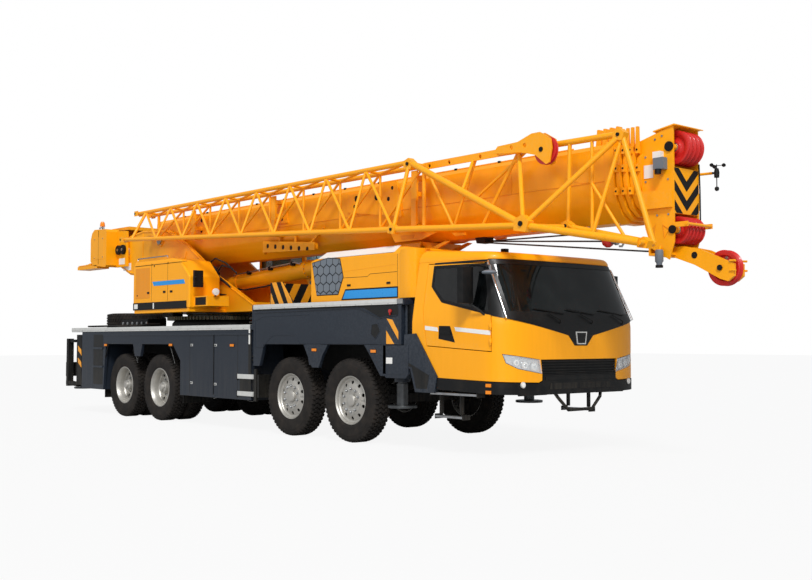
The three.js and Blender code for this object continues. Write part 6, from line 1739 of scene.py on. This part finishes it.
def makeHead():
    softened("boom_tip", [yellow], 0.005)
    more = Piece("boom_head_detail", "boom_tip", "yellow_paint",
                 [yellow, frameBlack, steel, greyPlastic, stripeWhite, plastic, amberLens, shadedYellow])
    # chevrons on the front plate
    face = 4.8565
    for k in range(3):
        z = 3.5 - k * 0.235
        for side in (1, -1):
            bar = clipTo([(0, z - 0.235), (0.245, z), (0.245, z + 0.12), (0, z - 0.115)],
                         [(0, 2.995), (0.245, 2.995), (0.245, 3.535), (0, 3.535)])
            if len(bar) > 2:
                more.prism([(side * y, v) for y, v in bar], "x", 4.85, face + 0.002, 1)
    # side plate details, right side: raised box, device, blank plate, folded pocket, flange bolts
    for side in (1, -1):
        out = 0.264
        sidePrism(more, side, [(4.385, 3.28), (4.84, 3.27), (4.84, 3.06), (4.41, 3.06)], out + 0.045, 0.05, 0)
        # a loop and a triangle in the shaded yellow: painted shade
        more.tube([(4.7, side * (out + 0.001), 2.86), (4.79, side * (out + 0.001), 2.8),
                   (4.72, side * (out + 0.001), 2.7), (4.7, side * (out + 0.001), 2.86)], 0.007, 7, 8)
        sidePrism(more, side, [(4.56, 2.6), (4.6, 2.88), (4.52, 2.8)], out + 0.003, 0.01, 7)
        for x, z in ((4.6, 3.9), (4.7, 3.93), (4.46, 3.4), (4.46, 3.7), (4.78, 3.4), (4.78, 2.98), (4.62, 2.98)):
            more.disc((x, side * out, z), "y", 0.014, 0.008, 2, side, 6)
        more.disc((4.8, side * out, 3.79), "y", 0.06, 0.016, 1, side)
        more.disc((4.835, side * out, 2.795), "y", 0.05, 0.016, 1, side)
        # nose arm: bosses, pins at its end
        more.disc((5.03, side * 0.115, 2.485), "y", 0.04, 0.004, 1, side)
        more.disc((5.37, side * 0.115, 2.32), "y", 0.034, 0.016, 1, side, 20)
    more.box(4.63, 4.77, -0.355, -0.264, 3.52, 3.66, 3)
    more.box(4.61, 4.72, -0.335, -0.264, 3.66, 3.74, 4)
    more.disc((4.7, -0.355, 3.52), "z", 0.04, 0.06, 5, -1, 16)
    more.box(4.44, 4.57, -0.274, -0.264, 3.44, 3.6, 4)
    # rope guard bar over the lower sheaves, vertical cable at the right edge
    more.rod((5.025, -0.27, 2.85), (5.025, 0.26, 2.85), 0.018)
    more.box(4.84, 5.04, -0.262, -0.24, 2.82, 2.88)
    more.box(4.84, 5.04, 0.24, 0.262, 2.82, 2.88)
    more.tube([(4.865, 0.255, 3.62), (4.87, 0.262, 3.3), (4.872, 0.262, 2.7)], 0.009, 1, 8)
    # cap with its lip over the head sheaves
    more.prism([(4.58, 3.99), (4.88, 4.035), (4.915, 4.028), (4.915, 4.04), (4.88, 4.052), (4.58, 4.005)], "y", -0.28,
               0.28)
    for y in (-0.12, 0.12):
        for z in (2.395, 2.285):
            more.rod((5.5, y, z), (5.575, y, z - 0.004), 0.013, 0, 10)
    more.rod((5.5, -0.12, 2.395), (5.5, 0.12, 2.395), 0.015, 2, 10)
    # work lamp below the head
    more.lathe([(0.0005, 2.36), (0.035, 2.36), (0.035, 2.4), (0.05, 2.42), (0.05, 2.54), (0.042, 2.56),
                (0.0005, 2.56)], (4.68, -0.32, 0), "z", 1, 3, 24)
    more.lathe([(0.0005, 2.345), (0.045, 2.345), (0.045, 2.375), (0.0005, 2.375)], (4.68, -0.32, 0), "z", 1, 1, 24)
    more.rod((4.68, -0.32, 2.55), (4.66, -0.26, 2.6), 0.014, 0, 8)
    # wind gauge on its arm
    more.tube([(4.84, 0.27, 3.5), (5.02, 0.3, 3.5)], 0.017)
    more.rod((5.0, 0.3, 3.5), (5.1, 0.3, 3.5), 0.013, 1, 8)
    more.lathe([(0.0005, 3.44), (0.03, 3.44), (0.034, 3.5), (0.024, 3.55), (0.0005, 3.56)], (5.08, 0.3, 0), "z", 1, 1,
               16)
    more.rod((5.08, 0.3, 3.32), (5.08, 0.3, 3.6), 0.006, 1, 8)
    for k in range(3):
        a = 2 * math.pi * k / 3 + 0.35
        spot = (5.08 + 0.085 * math.cos(a), 0.3 + 0.085 * math.sin(a), 3.585)
        more.rod((5.08, 0.3, 3.585), spot, 0.004, 1, 6)
        more.lathe([(0.0005, -0.022), (0.018, -0.018), (0.024, 0), (0.018, 0.018), (0.0005, 0.022)], spot, "y", 1, 1,
                   12)
    more.lathe([(0.0005, 3.275), (0.022, 3.285), (0.028, 3.305), (0.022, 3.325), (0.0005, 3.335)], (5.08, 0.3, 0),
               "z", 1, 1, 14)
    more.ready(bevel=0.0025, segments=1, sharp=40)


def lowAt(x):
    return 3.45 - (x + 6.77) * 0.0538


def makeJib():
    jib = Piece("lattice_jib_shape", "boom_base", "yellow_paint", [yellow, frameBlack, sheaveRed, steel, shadedYellow],
                replaces=("lattice_jib",))
    chord, lace = boomSize["chord"], boomSize["lace"]
    x0, x1 = boomSize["jibBack"], boomSize["jibFront"]
    corner = {"topIn": lambda x: (x, -0.62, 4.008), "topOut": lambda x: (x, -0.9, 4.028),
              "lowIn": lambda x: (x, -0.62, lowAt(x) + 0.07), "lowOut": lambda x: (x, -1.21, lowAt(x))}
    for label, at in corner.items():
        jib.rod(at(x0), at(x1), chord, 0, 20)
    stations = [x1 - boomSize["bay"] * k for k in range(9)]
    for k, x in enumerate(stations):
        heavy = 0.03 if k in (0, 8) else lace
        jib.rod(corner["topOut"](x), corner["lowOut"](x), heavy)
        jib.rod(corner["topIn"](x), corner["lowIn"](x), heavy)
        jib.rod(corner["topIn"](x), corner["topOut"](x), lace)
        jib.rod(corner["lowIn"](x), corner["lowOut"](x), lace)
    for back, front in zip(stations[1:], stations):
        jib.rod(corner["topOut"](back), corner["lowOut"](front), lace * 1.1)
        jib.rod(corner["lowIn"](back), corner["topIn"](front), lace)
        jib.rod(corner["topIn"](back), corner["topOut"](front), lace * 0.9)
        jib.rod(corner["lowOut"](back), corner["lowIn"](front), lace * 0.9)
    # end forks and pins at the rear
    for label in corner:
        x, y, z = corner[label](x0)
        jib.box(x - 0.05, x + 0.1, y - 0.012 - 0.045, y - 0.045, z - 0.05, z + 0.05)
        jib.box(x - 0.05, x + 0.1, y + 0.045, y + 0.045 + 0.012, z - 0.05, z + 0.05)
        jib.rod((x - 0.02, y - 0.065, z), (x - 0.02, y + 0.065, z), 0.02, 1)
    # front end
    top, apex, shin, tail, tailIn = (4.4, -0.65, 3.95), (3.3, -1.19, 2.9), (3.56, -0.65, 2.9), (4.86, -0.96,
            2.6), (4.86, -0.68, 2.6)
    topOut, topIn, lowOut, lowIn = (corner[label](x1) for label in ("topOut", "topIn", "lowOut", "lowIn"))
    for a, b, radius in ((topOut, apex, 0.046), (topIn, top, 0.04), (lowOut, apex, 0.042), (lowIn, shin, 0.036),
                         (apex, tail, 0.046), (shin, tailIn, 0.04),
                         (tail, tailIn, 0.03), (apex, shin, 0.028), (top, tailIn, 0.034), (top, apex, 0.034),
                         ((2.74, -0.65, 3.964), apex, 0.03),
                         ((2.74, -0.65, 3.964), (2.06, -0.658, 3.016), 0.024), ((3.6, -0.65, 3.956), shin, 0.026),
                         ((1.9, -0.65, 3.975), (2.06, -1.03, 3.48), 0.022),
                         ((4.4, -0.65, 3.9), (4.1, -0.83, 2.78), 0.026),
                         ((3.95, -0.65, 3.93), (3.95, -0.66, 2.8), 0.022),
                         ((3.95, -0.66, 3.4), (4.45, -0.67, 2.7), 0.02),
                         (topOut, (1.95, -0.66, 3.42), 0.022), ((1.95, -0.66, 3.42), (2.9, -0.65, 3.96), 0.02),
                         ((1.5, -0.655, 3.04), (1.95, -0.66, 3.96), 0.02),
                         ((0.95, -0.66, 3.94), (1.5, -0.655, 3.06), 0.022),
                         ((1.6, -1.195, 3.0), (1.6, -0.66, 3.03), 0.02),
                         ((2.5, -1.19, 2.95), (2.5, -0.655, 2.98), 0.02),
                         ((4.08, -1.07, 2.755), (4.08, -0.665, 2.77), 0.022),
                         ((3.56, -0.65, 2.92), (4.08, -1.07, 2.76), 0.02)):
        jib.rod(a, b, radius, 0, 14)
    # clevis blocks with black pins
    for x, y, z, size in ((0.86, -0.9, 4.0, 0.085), (3.3, -1.19, 2.92, 0.11), (4.38, -0.65, 3.94, 0.075),
                          (4.84, -0.82, 2.6, 0.07), (0.86, -1.21, lowAt(0.85), 0.07), (3.56, -0.65, 2.91, 0.07)):
        jib.prism([(x - size * 1.1, z - size * 0.7), (x + size * 0.7, z - size), (x + size * 1.2, z + size * 0.2),
                   (x + size * 0.2, z + size), (x - size, z + size * 0.6)],
                  "y", y - 0.05, y + 0.05)
        jib.rod((x, y - 0.066, z), (x, y + 0.066, z), size * 0.3, 1, 16)
    # flat top bar with holes, and the pair of plates that hold the jib's own sheave
    jib.prism([(0.95, 3.93), (2.62, 3.93), (2.62, 4.03), (0.95, 4.03)], "y", -0.7, -0.68, 0,
              [circle(x, 3.975, 0.028, 14) for x in (1.05, 1.46, 2.07, 2.4)])
    jib.prism([(0.95, 3.945), (2.62, 3.945), (2.62, 4.015), (0.95, 4.015)], "y", -0.66, -0.65, 1)
    plate = [(2.42, 3.95), (2.5, 4.04), (2.86, 4.05), (3.1, 4.125), (3.24, 4.125), (3.42, 4.02), (3.44, 3.9),
             (3.4, 3.72), (3.34, 3.7), (3.16, 3.84), (2.9, 3.91)]
    for y in (-0.8, -0.7):
        jib.prism(plate, "y", y - 0.01, y + 0.01, 0,
                  [circle(2.75, 3.99, 0.03, 14), circle(2.98, 3.99, 0.03, 14), circle(3.26, 3.9, 0.034)])
    grooved(jib, 3.3, 3.885, -0.75, 0.18, 0.055, 2, 3, 44)
    jib.rod((3.26, -0.82, 3.9), (3.26, -0.68, 3.9), 0.03, 1, 16)
    # hangers that hold the jib to the boom's side
    for x in (-5.7, -3.0, 0.64):
        for z in (3.62, 3.86):
            jib.box(x - 0.05, x + 0.05, -0.625, -0.452, z - 0.035, z + 0.035)
            jib.disc((x, -0.6, z + 0.035), "z", 0.02, 0.02, 1, 1, 12)
        jib.box(x - 0.06, x + 0.06, -0.63, -0.6, 3.52, 3.96)
        # lower ends of the hangers in the shaded yellow: painted shade
        jib.box(x - 0.05, x + 0.05, -0.64, -0.6, lowAt(x) + 0.04, 3.55, 4)
    jib.ready(weld=False, sharp=40)


def makeRopes():
    lines = Piece("hook_ropes", "boom_base", "steel", [rope, sheaveRed, steel, frameBlack])
    start = (1.52, -0.02, 2.9)
    for a, b in ((start, (3.56, -0.1, 2.86)), (start, (3.66, -0.1, 2.745)), ((1.52, -0.08, 2.88), (4.38, -0.1, 2.57))):
        lines.rod(a, b, superSize["ropeRadius"], 0, 10)
    lines.prism([(1.44, 2.87), (1.6, 2.87), (1.6, 2.99), (1.4, 2.99)], "y", -0.14, 0.04, 3)
    lines.lathe([(0.0005, -0.075), (0.045, -0.06), (0.07, -0.02), (0.072, 0.02), (0.05, 0.06), (0.0005, 0.075)],
                (3.75, -0.1, 2.73), "x", 1, 1, 28)
    lines.lathe([(0.0005, 0.07), (0.03, 0.07), (0.03, 0.11), (0.05, 0.12), (0.05, 0.15), (0.0005, 0.16)],
                (3.75, -0.1, 2.73), "x", 1, 2, 20)
    lines.tube([(3.9, -0.1, 2.73), (3.97, -0.1, 2.75), (4.0, -0.1, 2.7), (3.97, -0.1, 2.66), (3.93, -0.1, 2.665)],
               0.014, 2)
    lines.rod((4.38, -0.1, 2.57), (4.4, -0.1, 2.6), 0.015, 2, 8)
    lines.ready(weld=False)
    guard = Piece("boom_guide", "boom_base", "yellow_paint", [yellow, steel])
    for y in (-0.36, -0.16):
        guard.tube([(3.16, y, 2.98), (3.18, y, 2.9), (3.44, y, 2.88), (3.46, y, 2.95)], 0.012, 0, 8)
    guard.rod((3.18, -0.36, 2.9), (3.18, -0.16, 2.9), 0.012, 1, 8)
    guard.rod((3.44, -0.36, 2.88), (3.44, -0.16, 2.88), 0.012, 1, 8)
    guard.ready(weld=False)


makeSheaves()
makeBoomBase()
makeBoomSections()
makeHead()
makeJib()
makeRopes()
print("boom and jib made")


# Finishes of the CAD nodes that stay
slotFinish = {"yellow_paint": yellow, "slate_paint": slate, "silver_trim": silver, "black_parts": frameBlack,
              "tyre": rubber, "rim": alloy, "steel": steel, "red_paint": sheaveRed, "glass": darkGlass,
              "blue_stripe": stripeBlue, "seat_cloth": seatCloth}
for part in frame["record"]["subparts"]:
    node = frame["nodes"][part["node"]]
    finish = slotFinish[part["material_slot"]]
    node.data.materials.clear()
    node.data.materials.append(finish)
print("CAD nodes painted")
